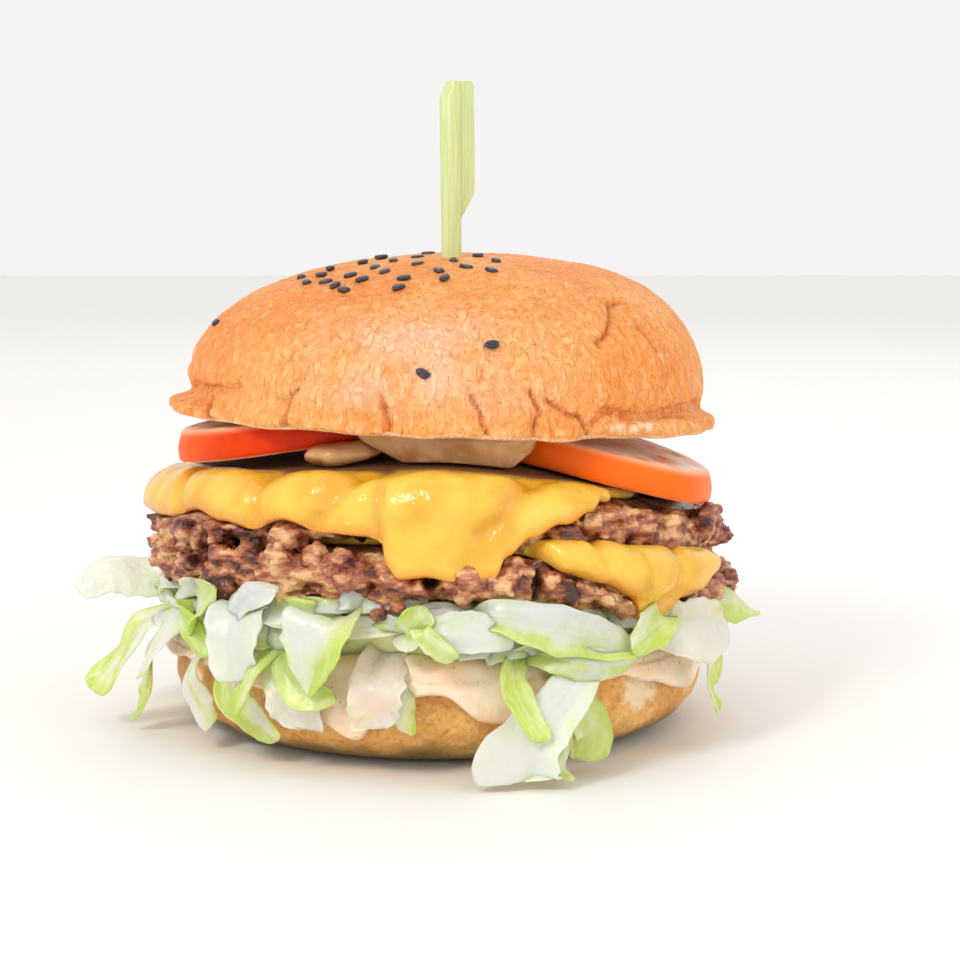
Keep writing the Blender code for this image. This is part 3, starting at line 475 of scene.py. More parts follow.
def leaning(points):
    pitch, roll = math.radians(stack["pitch"]), math.radians(stack["roll"])
    turnX = np.array([[1, 0, 0], [0, math.cos(pitch), -math.sin(pitch)],
                      [0, math.sin(pitch), math.cos(pitch)]])
    turnY = np.array([[math.cos(roll), 0, math.sin(roll)], [0, 1, 0], [-math.sin(roll), 0, math.cos(roll)]])
    turn = turnY @ turnX
    return (points - stack["pivot"]) @ turn.T + stack["pivot"]


# layers, as the part's source works them out
layers = {"gap": 0.4, "upperTop": 55.6, "lowerTop": 43.2, "lowerBottom": 33.6, "upperShoulder": 3.8,
          "lowerShoulder": 2.6, "upperCheese": 2.0, "lowerCheese": 1.8,
          "upperEdge": [(-150, 56.5), (-90, 60.6), (-60, 58.2), (-30, 59.0), (0, 59.4), (18, 58.2),
                        (36, 55.8), (60, 54.6), (90, 55.4), (130, 57.4), (170, 57.0)],
          "lowerEdge": [(-150, 57.6), (-90, 59.6), (-50, 59.2), (-20, 59.0), (8, 58.8), (30, 59.6),
                        (60, 57.5), (84, 58.2), (110, 57.0), (160, 58.6)],
          "upperHang": [(-170, 1), (-150, 5), (-125, 1), (-100, 3), (-84, 3.8), (-68, 4), (-55, 2.2),
                        (-46, 4), (-38, 5.3), (-31, 3.8), (-22, 6.2), (-14, 7.0), (-11.6, 7.6), (-10, 13),
                        (-8, 15.3), (-3, 14.8), (3, 15.8), (9, 14.6), (11, 10), (15.5, 6), (21.5, 2.6),
                        (28, 0.5), (34, -2), (42, -7), (70, -12), (95, -6), (112, 1), (125, 6), (140, 2)],
          "lowerHang": [(-165, 4), (-140, 1), (-115, -2), (-90, -7), (-70, -4), (-58, -8), (-35, -7),
                        (-15, -6), (5, -5), (14, -3), (22, 1), (30, 2), (36, 4), (39.5, 9), (42.5, 10.6),
                        (46, 7), (50, 4), (62, 1), (78, -2), (95, -1), (125, 5)]}


def sag(x, y):
    return 1.1 * (np.hypot(x, y) / 47) ** 3 + np.where(x > 0, 0.0225, 0.015) * np.abs(x) ** 1.5


def upperTop(x, y):
    return layers["upperTop"] - sag(x, y)


def lowerTop(x, y):
    return layers["lowerTop"] - 0.85 * sag(x, y)


def upperBottom(x, y):
    return lowerTop(x, y) + layers["lowerCheese"] + 2 * layers["gap"]


def lowerBottom(x, y):
    return layers["lowerBottom"] - 0.55 * sag(x, y)


def draped(azimuth, along, radius, top, shoulder, off):  # laid over a patty: across, round its shoulder, down
    flat = radius - shoulder
    bend = np.clip((along - flat) / shoulder, 0, math.pi / 2)
    inner = np.minimum(along, flat)
    place = polar(azimuth, inner, 0.0)
    height = top(place[..., 0], place[..., 1])
    down = np.maximum(along - flat - shoulder * math.pi / 2, 0)
    onFlat = along <= flat
    reach = np.where(onFlat, inner, flat + (shoulder + off) * np.sin(bend))
    level = np.where(onFlat, height + off, height - shoulder + (shoulder + off) * np.cos(bend) - down)
    return polar(azimuth, reach, level)


# top bun
crownShape = {"centre": (-1.4, -1.0), "radius": 53.6, "belly": 69.6, "rise": 27.7, "squareness": 2.2,
              "lean": 7.6, "lip": 62.6, "recess": 9.2, "segments": 560, "tearWidth": 3.4,
              # drop below the belly, reach where the brim flares and where not, share of the raggedness
              "brim": [(2.8, -0.4, -0.2, 0.0), (4.6, 1.7, 0.0, 0.8), (5.8, 2.3, 0.1, 1.0),
                       (6.7, 1.2, -0.7, 1.0)],
              "underRings": (50.5, 45.5, 40.0, 24.0, 2.0),
              "tears": {-80: 2.2, -68: 1.4, -33: 1.6, -12: 0.8, 9: 1.2, 19.5: 2.4, 31: 1.4, 62: 1.4, 76: 2.0,
                        118: 1.6, -130: 1.8, 165: 1.2},
              "cracks": [(0.46, [(-33.8, 63.0), (-33.2, 67.2), (-32.5, 69.4), (-31.0, 71.0)]),
                         (0.46, [(-12.5, 71.6), (-12.0, 69.0), (-11.0, 63.4)]),
                         (0.44, [(5.7, 71), (7.4, 67.6), (9.3, 63.4)]),
                         (0.5, [(18.4, 72.4), (19.7, 68.7), (19.3, 63.4)]),
                         (0.46, [(21.5, 70.4), (23.3, 69.9), (26.4, 68.1), (30, 66.6), (31.5, 63.6)]),
                         (0.44, [(52.7, 89.1), (47, 88.6), (40.8, 84.1), (35.7, 81.3)]),
                         (0.42, [(50.9, 84), (53.6, 80.1)]),
                         (0.42, [(-60, 67), (-57, 65), (-56, 63.5)]),
                         (0.4, [(118, 72), (116, 67), (118, 63.5)]),
                         (0.4, [(165, 72), (163, 67), (165, 63.5)]), (0.4, [(-130, 71), (-128, 64)])],
              "folds": [(0.95, [(32.7, 66.4), (36.2, 68.6), (43.0, 67.2), (55.5, 67.2), (72.2, 68.6),
                                (84, 68)]),
                        (1.0, [(-84, 67.6), (-70, 68.4), (-57.9, 69.0), (-48.6, 69.8)]),
                        (0.8, [(-150, 68), (-135, 69), (-118, 67.6)]),
                        (0.8, [(98, 67.8), (112, 68.6), (128, 67.4)])]}


def crownUnder(x, y):
    away = np.hypot(x - crownShape["centre"][0], y - crownShape["centre"][1])
    return crownShape["lip"] + crownShape["recess"] * np.sin(np.clip((51.5 - away) / 15, 0, 1) * math.pi / 2)


def crownSurface(azimuth, turn):  # turn goes from 0 at the top to 90 at the belly
    power = 2 / crownShape["squareness"]
    angle = math.radians(turn)
    point = polar(azimuth, crownShape["radius"] * math.sin(angle) ** power,
                  crownShape["belly"] + crownShape["rise"] * max(0.0, math.cos(angle)) ** power,
                  crownShape["centre"])
    point[..., 0] += crownShape["lean"] * math.cos(angle) ** 2
    return point


def makeCrown(finish):
    steps = around(crownShape["segments"])
    dome = [crownSurface(steps, turn) for turn in np.linspace(1.2, 90, 100)]
    tear = np.max([depth * np.clip(1 - np.abs(steps - at) / crownShape["tearWidth"], 0, 1)
                   for at, depth in crownShape["tears"].items()], axis=0)
    # the brim turns out only at the sides and back
    flare = between(0.78, 0.42, np.cos(np.radians(steps + 4)))
    keys = [dome[-1]]
    ragged = 0.9 * ripple(polar(steps, 22, 0.0), 2.6) + 0.45 * ripple(polar(steps, 40, 0.0), 1.7, 3.0)
    side = np.where(steps < 0, 1.4, 0.2) * np.sin(np.radians(steps)) ** 2
    for drop, out, straight, cut in crownShape["brim"]:
        wave = 0.9 * ripple(polar(steps, 9, drop / 3), 3.0) * flare
        turned = (side + wave + (ragged - tear) * (0.3 + 0.7 * flare) * cut) * (cut > 0)
        level = crownShape["belly"] - drop + 0.6 * cut * ripple(polar(steps, 30, 5.0), 5.0)
        reach = crownShape["radius"] + out * flare + straight * (1 - flare) + turned
        keys.append(polar(steps, reach, level, crownShape["centre"]))
    keys += [ringOn(crownUnder, steps, radius, crownShape["centre"]) for radius in crownShape["underRings"]]
    rim = lofted(keys, [8, 8, 6, 6, 7, 5, 4, 4, 4])
    rings = np.concatenate([np.array(dome[:-1]), rim])
    centre = crownShape["centre"]
    crown = ballAround("topBun", rings, crownSurface(np.array(0.0), 0), (*centre, float(crownUnder(*centre))))
    points, normals = meshPoints(crown), meshNormals(crown)
    azimuth = azimuthOf(points, centre)
    outside = (normals[:, 2] > -0.35) & (points[:, 2] > 62.4)
    low = between(79, 71, points[:, 2])
    shadedCrack, fold = [grooves(azimuth + 0.7 * ripple(points, 2.2), points[:, 2] + 0.7 * ripple(points, 2.2, 4.0),
                           crownShape[kind]) * outside for kind in ("cracks", "folds")]
    inFlap = between(-34.0, -32.6, azimuth) * between(-11.2, -12.6, azimuth)
    inFlap *= between(72.8, 71.2, points[:, 2])
    # folded bulge on the right
    puff = np.exp(-((azimuth - 48) / 17) ** 2 - ((points[:, 2] - 65.2) / 1.6) ** 2)
    relief = 0.55 * ripple(points, 15.0) + 0.26 * ripple(points, 4.2, 2.0)
    wrinkle = ripple(points * np.array([1.0, 1.0, 0.5]), 1.7, 7.0)
    relief += 0.10 * (0.4 - np.abs(wrinkle)) + 0.10 * ripple(points, 0.9, 9.0)
    relief += low * 0.55 * ripple(points * np.array([1.0, 1.0, 1.6]), 5.0, 5.0)
    relief = relief * outside - 0.9 * shadedCrack - 1.15 * fold + (0.95 * inFlap + 1.2 * puff) * outside
    setPoints(crown, leaning(points + normals * relief[:, None]))
    # painted shade in the cracks and folds
    setValue(crown, "shadedCrack", 0.62 * shadedCrack + 0.14 * fold)
    setValue(crown, "torn", 0.6 * outside * between(66.4, 64.2, points[:, 2])
             * between(0.0, 0.5, ripple(points, 3.0, 1.0)))
    setValue(crown, "crumb", np.maximum(0.5 * ~outside, 0.85 * outside * between(0.45, 0.8, puff)
                                        * between(-0.1, 0.3, ripple(points, 2.0, 6.0)) * (azimuth < 50)))
    setValue(crown, "pink", 0.95 * np.exp(-((azimuth + 5) / 24) ** 2) * between(64, 72, points[:, 2])
             * between(90, 82, points[:, 2]) * (0.65 + 0.7 * ripple(points, 6.0, 3.0)))
    dress(crown, finish, "bun_crust", "bun_crown")


# black sesame
seedShape = {"half": (1.4, 0.92, 0.6), "patch": (-18.0, -25.5, 8.0, 7.0), "inPatch": 21, "apart": 3.9,
             "loose": [(-75, 49.8), (-4.5, 52.9), (9, 50.2), (-70, 36.5), (-69, 31.6), (-15, 29.2),
                       (-6, 13.8), (7.5, 19.4), (150, 28), (-120, 34)],
             "pick": (1.1, -14.0), "offPick": 5.0, "reach": 40.5}


def seedTurn(radius):
    share = (radius / crownShape["radius"]) ** (crownShape["squareness"] / 2)
    return math.degrees(math.asin(min(1.0, share)))


def seedSpots():  # the same draw as in the part's source
    draw = random.Random(11)
    spots = [(azimuth, radius, draw.uniform(0, math.pi)) for azimuth, radius in seedShape["loose"]]
    middleX, middleY, spreadX, spreadY = seedShape["patch"]
    while len(spots) < seedShape["inPatch"] + len(seedShape["loose"]):
        x, y = draw.gauss(middleX, spreadX), draw.gauss(middleY, spreadY)
        azimuth, radius = math.degrees(math.atan2(x, -y)), math.hypot(x, y)
        here = polar(azimuth, radius, 0.0)
        apart = all(np.linalg.norm(here - polar(*other[:2], 0.0)) > seedShape["apart"] for other in spots)
        place = leaning(crownSurface(azimuth, seedTurn(radius)))
        fromPick = math.hypot(place[0] - seedShape["pick"][0], place[1] - seedShape["pick"][1])
        if apart and fromPick > seedShape["offPick"] and radius < seedShape["reach"]:
            spots.append((azimuth, radius, draw.uniform(0, math.pi)))
    return spots


def makeSeeds(finish):
    seeds = []
    for azimuth, radius, heading in seedSpots():
        turn = seedTurn(radius)
        here = crownSurface(azimuth, turn)
        out = np.cross(crownSurface(azimuth, turn + 1) - here, crownSurface(azimuth + 1, turn) - here)
        out *= math.copysign(1, out[2]) / np.linalg.norm(out)
        side = np.cross(out, [math.cos(heading), math.sin(heading), 0])
        side /= np.linalg.norm(side)
        long = np.cross(side, out)
        deselectAll()
        bpy.ops.mesh.primitive_uv_sphere_add(segments=16, ring_count=12, radius=mm)
        seed = bpy.context.object
        ball = meshPoints(seed)
        x, y, z = ball[:, 2:3], ball[:, 0:1], ball[:, 1:2]
        long4 = np.sign(x) * np.abs(x) ** 0.8  # a blunt, flat-faced lozenge
        points = (here + long * long4 * seedShape["half"][0]
                  + side * (np.sign(y) * np.abs(y) ** 0.85 * (1 - 0.2 * x) + 0.35 * x) * seedShape["half"][1]
                  + out * (0.35 + np.clip(z, -1, 0.72) * seedShape["half"][2]))
        setPoints(seed, leaning(points))
        seeds.append(seed)
    sesame = joinAll(seeds, "sesameSeeds")
    bpy.ops.object.shade_smooth()
    dress(sesame, finish, "bun_crust", "bun_crown")


# smashed patties, pressed together from crumbs of mince
pattyShape = {"crumbs": 330, "perChunk": 12, "inset": 1.9, "voxel": 0.5, "inner": 47.0, "pitDepth": 3.4,
              "thinOut": 0.42}
upperPatty = {"edge": layers["upperEdge"], "hang": layers["upperHang"], "top": upperTop,
              "bottom": upperBottom, "shoulder": layers["upperShoulder"], "seed": 3,
              "pits": [(-16, 42.2, 5.6, 3.0), (-52, 41.0, 2.6, 2.0)],
              "chunks": [(-84, 58.4, 41.4, (3.2, 5.0, 3.2)), (-72, 58.2, 40.6, (3.4, 3.6, 3.8)),
                         (-62, 58.0, 42.6, (4.0, 3.6, 3.0)), (-58, 57.8, 39.6, (3.4, 3.2, 2.8)),
                         (-49, 57.9, 41.6, (3.4, 3.0, 3.8)), (-40, 57.8, 40.6, (3.4, 3.0, 4.0)),
                         (-31, 57.6, 41.6, (3.6, 3.0, 3.4)), (-25, 57.6, 38.6, (3.0, 3.0, 2.2)),
                         (22, 56.6, 47.6, (3.4, 2.6, 2.6)), (32, 55.6, 46.6, (3.4, 2.8, 2.6)),
                         (43, 54.6, 45.6, (3.4, 2.6, 2.6)), (56, 54.0, 44.6, (3.0, 3.0, 2.6)),
                         (68, 54.0, 44.0, (3.4, 3.0, 3.0)), (84, 54.4, 41.8, (3.4, 4.0, 3.4))]}
lowerPatty = {"edge": layers["lowerEdge"], "hang": layers["lowerHang"], "top": lowerTop,
              "bottom": lowerBottom, "shoulder": layers["lowerShoulder"], "seed": 8,
              "pits": [(-2.5, 37.4, 1.6, 3.0), (16.8, 36.0, 1.0, 3.4)],
              "chunks": [(-10, 58.6, 34.4, (3.2, 3.0, 6.8)), (3, 58.4, 36.0, (5.0, 2.6, 2.6)),
                         (9, 58.4, 34.6, (3.6, 2.8, 2.4)), (14, 59.2, 37.6, (3.4, 3.0, 3.9)),
                         (21.5, 58.4, 35.4, (3.6, 3.2, 4.2)), (29, 58.4, 35.6, (3.8, 3.2, 4.0)),
                         (36, 57.6, 33.4, (4.6, 3.2, 4.2)), (80, 56.6, 31.6, (3.8, 3.6, 2.3)),
                         (70, 56.4, 32.4, (3.0, 3.0, 2.6)), (-22, 58.0, 36.4, (3.6, 3.0, 3.4)),
                         (-34, 57.6, 36.6, (3.8, 3.0, 3.2)), (-46, 57.4, 36.0, (3.6, 3.0, 3.2)),
                         (-60, 57.4, 35.6, (3.4, 3.2, 3.4)), (-76, 57.4, 35.0, (3.4, 3.6, 3.4))]}


def crumbShape(rough):  # one crumb of mince, modelled once and copied
    deselectAll()
    bpy.ops.mesh.primitive_ico_sphere_add(subdivisions=2, radius=mm)
    crumb = bpy.context.object
    points = meshPoints(crumb)
    points *= (1 + rough * ripple(points, 0.75, 2.0))[:, None]
    faces = np.array([polygon.vertices[:] for polygon in crumb.data.polygons])
    bpy.data.objects.remove(crumb)
    return points, faces


def makePatty(name, shape, finish, node):
    steps = around(240)
    edge, shoulder = eased(shape["edge"], steps), shape["shoulder"]
    keys = [ringOn(shape["top"], steps, radius) for radius in (4.0, 34.0)]
    flat = polar(steps, edge - shoulder, 0.0)
    high = shape["top"](flat[:, 0], flat[:, 1]) - shoulder
    low = shape["bottom"](flat[:, 0], flat[:, 1]) + shoulder
    for turn in (0, 45, 80, 100, 135, 180):
        out, up = math.sin(math.radians(turn)), math.cos(math.radians(turn))
        keys.append(polar(steps, edge - shoulder + (shoulder - pattyShape["inset"]) * out,
                          np.where(turn < 90, high, low) + shoulder * up))
    keys += [ringOn(shape["bottom"], steps, radius) for radius in (34.0, 4.0)]
    rings = lofted(keys, [6, 6, 4, 3, 3, 3, 4, 6, 6])
    patty = ballAround(name, rings, *[(0, 0, float(shape[face](0.0, 0.0))) for face in ("top", "bottom")])

    # crumbs on the rim, each turned its own way
    draw = random.Random(shape["seed"])
    ballPoints, ballFaces = crumbShape(0.5)
    allPoints, allFaces, centres, tones, sizes = [], [], [], [], []

    def addCrumb(centre, half, tone):
        spin = Vector((draw.gauss(0, 1), draw.gauss(0, 1), draw.gauss(0, 1))).normalized()
        turn = np.array(spin.to_track_quat("Z", "Y").to_matrix())
        allFaces.append(ballFaces + len(allPoints) * len(ballPoints))
        allPoints.append((ballPoints * half) @ turn.T + centre)
        centres.append(centre)
        tones.append(tone)
        sizes.append(float(np.mean(half)))

    for i in range(pattyShape["crumbs"]):
        azimuth = draw.uniform(-180, 180)
        turn = math.radians(draw.uniform(28, 168))
        radius = float(eased(shape["edge"], azimuth))
        at = polar(azimuth, radius - shoulder, 0.0)
        top = float(shape["top"](at[0], at[1])) - shoulder
        bottom = float(shape["bottom"](at[0], at[1])) + shoulder
        rise = draw.random()
        size = 10 ** draw.uniform(0.14, 0.60)
        crag = 1.9 * noise.noise((azimuth / 7.5, rise * 1.6, shape["seed"])) + 0.35
        sunk = size * draw.uniform(0.45, 0.85) - crag
        height = bottom + (top - bottom) * rise + (shoulder - sunk) * math.cos(turn)
        centre = polar(azimuth, radius - shoulder + (shoulder - sunk) * math.sin(turn), height)
        addCrumb(centre, np.array([size, size * draw.uniform(0.5, 0.9), size * draw.uniform(1.0, 2.2)]),
                 draw.random())
    for azimuth, radius, height, half in shape["chunks"]:
        middle = polar(azimuth, radius, height)
        tone = draw.random()
        for i in range(pattyShape["perChunk"]):
            spread = np.array([draw.uniform(-1, 1) * part for part in half]) * 0.72
            size = draw.uniform(1.3, 2.7)
            addCrumb(middle + spread, np.array([size, size * 0.8, size * draw.uniform(0.9, 1.6)]),
                     0.5 * tone + 0.5 * draw.random())
    mesh = bpy.data.meshes.new("crumbs")
    mesh.from_pydata((np.concatenate(allPoints) * mm).tolist(), [], np.concatenate(allFaces).tolist())
    crumbs = bpy.data.objects.new("crumbs", mesh)
    bpy.context.scene.collection.objects.link(crumbs)
    patty = joinAll([patty, crumbs], name)

    remesh = patty.modifiers.new("press together", "REMESH")
    remesh.mode = "VOXEL"
    remesh.voxel_size = pattyShape["voxel"] * mm
    remesh.use_smooth_shade = True
    applyAll(patty)

    # meat under the cheese is pressed flat, the rest is rough
    points, normals = meshPoints(patty), meshNormals(patty)
    azimuth = azimuthOf(points)
    radius = np.hypot(points[:, 0], points[:, 1])
    rimShare = between(pattyShape["inner"], 52, radius)
    tree = kdtree.KDTree(len(centres))
    for i, centre in enumerate(centres):
        tree.insert(centre, i)
    tree.balance()
    tone, shadedCrevice = np.full(len(points), 0.5), np.zeros(len(points))
    for i in np.nonzero(radius > pattyShape["inner"])[0]:  # between two crumbs runs a crevice, pushed in and darkened with painted shade
        near = sorted((reach / sizes[other], other) for _, other, reach in tree.find_n(points[i], 3))
        tone[i] = tones[near[0][1]]
        shadedCrevice[i] = near[1][0] - near[0][0]
    shadedCrevice = between(0.12, 0.0, shadedCrevice + 0.22 * (ripple(points, 2.6, 3.0) + 0.25)) * rimShare
    rough = (0.60 * (0.35 - np.abs(ripple(points, 2.4, 4.0))) + 0.34 * ripple(points, 1.3, 4.0)
             + 0.14 * ripple(points, 0.8, 6.0) - 0.25 * shadedCrevice)
    pit = np.zeros(len(points))
    for at, height, wide, tall in shape["pits"]:
        off = np.hypot((azimuth - at) / wide, (points[:, 2] - height) / tall)
        pit = np.maximum(pit, between(1.15, 0.7, off))
    points += normals * (rough * rimShare)[:, None]
    points -= polar(azimuth, pattyShape["pitDepth"], 0.0) * (pit * rimShare)[:, None]
    radius = np.hypot(points[:, 0], points[:, 1])
    edge = eased(shape["edge"], azimuth)
    flat = polar(azimuth, np.minimum(radius, edge - shoulder), 0.0)
    top = shape["top"](flat[:, 0], flat[:, 1])
    out, up = radius - (edge - shoulder), points[:, 2] - (top - shoulder)
    angle = np.arctan2(np.maximum(out, 0), up)
    down = np.maximum(-up, 0)
    along = np.where(up > 0, shoulder * np.clip(angle, 0, math.pi / 2), shoulder * math.pi / 2 + down)
    covered = along < shoulder * math.pi / 2 - 2 + eased(shape["hang"], azimuth) + 0.7
    away = np.hypot(out, np.maximum(up, 0))
    limit = shoulder - 0.05
    squeeze = np.where(covered & (away > limit) & (out > 0), limit / np.maximum(away, 0.01), 1.0)
    pressed = polar(azimuth, edge - shoulder + out * squeeze, points[:, 2])
    pressed[:, 2] = np.where(up > 0, top - shoulder + up * squeeze, points[:, 2])
    points = np.where((covered & (out > 0))[:, None], pressed, points)
    points[:, 2] = np.where(out <= 0, np.minimum(points[:, 2], top), points[:, 2])

    lumps = ripple(points, 7.0, 1.0)
    setPoints(patty, leaning(points))
    setValue(patty, "crumbTone", np.clip(tone * 0.8 + 0.1 + 0.4 * lumps, 0, 1))
    # painted shade in the crevices between crumbs
    setValue(patty, "shadedCrevice", 0.7 * shadedCrevice)
    # painted shade: hollows behind the rim and the pits are painted near-black
    depth = edge - np.hypot(points[:, 0], points[:, 1])
    middle = (top + shape["bottom"](flat[:, 0], flat[:, 1])) / 2
    hollowShade = between(1.3, 3.6, depth) * between(5.0, 3.6, np.abs(points[:, 2] - middle))
    setValue(patty, "gap", np.maximum(0.8 * hollowShade, 0.92 * pit * rimShare))
    group = patty.vertex_groups.new(name="hidden")
    hidden = np.nonzero(radius < pattyShape["inner"])[0].tolist()
    group.add(hidden, 1.0, "REPLACE")
    thin = patty.modifiers.new("thin out the middle", "DECIMATE")
    thin.ratio = pattyShape["thinOut"]
    thin.vertex_group = "hidden"
    applyAll(patty)
    dress(patty, finish, "beef", node)


# melted slices
# A fold is (width, line of (azimuth, distance past the flat)), a soft bulge is (azimuth, width, distance
# past the flat, reach, height).
cheeseShape = {"segments": 480, "rows": 46, "foldDepth": 1.3}
upperSlice = {"edge": layers["upperEdge"], "hang": layers["upperHang"], "top": upperTop,
              "shoulder": layers["upperShoulder"], "thick": layers["upperCheese"],
              "folds": [(1.4, [(-37.6, -3), (-38, 3), (-36.5, 9)]), (1.5, [(-13, -3), (-18, 2), (-25, 9)]),
                        (1.1, [(-12.4, 3), (-11.8, 12)]), (1.3, [(-68, 0), (-62, 6)]),
                        (1.4, [(17, 0), (6, 10)]),
                        (1.0, [(-100, -1), (-103, 5)]), (1.0, [(-150, -1), (-148, 6)]),
                        (1.0, [(120, -2), (123, 6)])],
              "puffs": [(-92, 12, 6, 3.2, 0.8), (-76, 22, -1, 4.5, 1.3), (-50, 11, 1, 4.0, 1.4),
                        (-27, 8, 2, 4.0, 1.2), (2, 11, 3, 5.0, 1.2), (-1, 8, 14, 5.0, 1.0),
                        (28, 9, 0, 3.5, 0.8)]}
lowerSlice = {"edge": layers["lowerEdge"], "hang": layers["lowerHang"], "top": lowerTop,
              "shoulder": layers["lowerShoulder"], "thick": layers["lowerCheese"],
              "folds": [(1.2, [(27, -1), (31, 4)]), (1.3, [(52, -1), (43, 8)]),
                        (1.0, [(-140, -1), (-138, 4)]), (1.0, [(120, -1), (122, 5)])],
              "puffs": [(43, 32, 1.6, 3.2, 3.6), (62, 8, 3.0, 2.5, 1.0), (36, 6, 4.0, 3.0, 0.8)]}


def makeCheeseSlice(name, shape, finish, node):
    steps = around(cheeseShape["segments"])
    top, shoulder, thick, folds = [shape[key] for key in ("top", "shoulder", "thick", "folds")]
    radius, length = eased(shape["edge"], steps), eased(shape["hang"], steps)
    flat, turned = radius - shoulder, shoulder * math.pi / 2
    length = flat + turned - 2 + length + 0.35 * ripple(polar(steps, 30, 0.0), 3.5)
    inner = thick * 0.5

    def place(along, off, swell):
        share = (along - flat) / 8
        broad = ripple(np.stack([steps / 19, along / 9, steps * 0 + 2.0], -1), 1.0)
        small = ripple(np.stack([steps / 7.5, along / 5.0, steps * 0 + 5.0], -1), 1.0)
        wave = swell * (1.5 * np.abs(broad) - 0.3 + 0.55 * small)
        groove = cheeseShape["foldDepth"] * swell * grooves(steps, along - flat, folds)
        raised = swell * sum(high * np.exp(-((steps - at) / wide) ** 4 - ((along - flat - reach) / tall) ** 2)
                             for at, wide, reach, tall, high in shape["puffs"])
        lift = np.clip(off * thick + wave * between(-0.8, 0.8, share) + raised - groove, 0.0, 9.0)
        return draped(steps, along, radius, top, shoulder, layers["gap"] + lift)

    marks = [3.0 + 0 * steps, 34.0 + 0 * steps, flat - 9, flat - 3]
    body = length - inner
    start = np.minimum(flat - 3, body - 2)
    rings = [place(np.minimum(mark, body - (5 - i)), 1.0, 1.0 * (i > 1)) for i, mark in enumerate(marks)]
    stretch = [place(start + (body - start) * (i + 1) / cheeseShape["rows"], 1.0, 1.0)
               for i in range(cheeseShape["rows"])]
    bead = []
    for turn in range(18, 163, 18):
        s, c = math.sin(math.radians(turn)), math.cos(math.radians(turn))
        bead.append(place(body + inner * s, 0.5 + 0.5 * c, max(c, 0.0)))
    under = [place(start + (body - start) * (10 - i) / 10, 0.0, 0.0) for i in range(9)]
    under += [place(np.minimum(mark, body - (5 - i)), 0.0, 0.0)
              for i, mark in reversed(list(enumerate(marks)))]
    rings = np.concatenate([lofted(rings, [4, 8, 6]), np.array(stretch), np.array(bead), np.array(under)])
    middle = float(top(0.0, 0.0)) + layers["gap"]
    slice_ = ballAround(name, rings, (0, 0, middle + thick), (0, 0, middle))

    # deeper orange at the lower edge of the drape and painted shade in the folds, and painted shade on the
    # top where it lies under the tomato and the bun
    points = meshPoints(slice_)
    azimuth = azimuthOf(points)
    radius = eased(shape["edge"], azimuth)
    at = polar(azimuth, radius - shoulder, 0.0)
    corner = top(at[:, 0], at[:, 1]) - shoulder
    inward = np.hypot(points[:, 0], points[:, 1]) - radius
    hangHeight = corner - np.maximum(eased(shape["hang"], azimuth) - 2, 0)
    rim = 0.65 * between(hangHeight + 3.2, hangHeight + 0.2, points[:, 2]) * between(-1.6, -0.8, inward)
    down = shoulder * math.pi / 2 + corner - points[:, 2]
    past = np.where(down > shoulder * 1.2, down, np.clip(shoulder + inward, -9, 6))
    # deeper orange at the lower edge of the drape, and painted shade in the fold grooves
    setValue(slice_, "thin", np.maximum(rim, 0.38 * grooves(azimuth, past, folds)))
    # painted shade on the front of the top, inside the rim, under the tomato and the bun
    inFront = between(12, -4, points[:, 1])
    setValue(slice_, "inside", 0.92 * inFront * between(-6.5, -9.5, inward + 1.2 * ripple(points, 5.0)))
    setPoints(slice_, leaning(points))
    dress(slice_, finish, "cheese", node)


# tomato slices
tomatoShape = {"thick": 6.6, "left": ((-29.0, -13.0), 26.0, -1), "right": ((26.8, -13.0), 27.4, 1)}


def tomatoLow(side, x, y):
    if side < 0:
        lean = 53.3 + 0.2 * (x + 53.2)
    else:
        lean = 56.0 - 0.0031 * np.maximum(0.0, x - 5) ** 2 - 0.04 * (x - 5)
    return np.maximum(lean, upperTop(x, y) + layers["upperCheese"] + 3 * layers["gap"])


def wobbly(azimuth):  # a slice isn't quite round
    return 1 + 0.02 * np.sin(np.radians(3 * azimuth)) + 0.006 * np.sin(np.radians(9 * azimuth + 40))


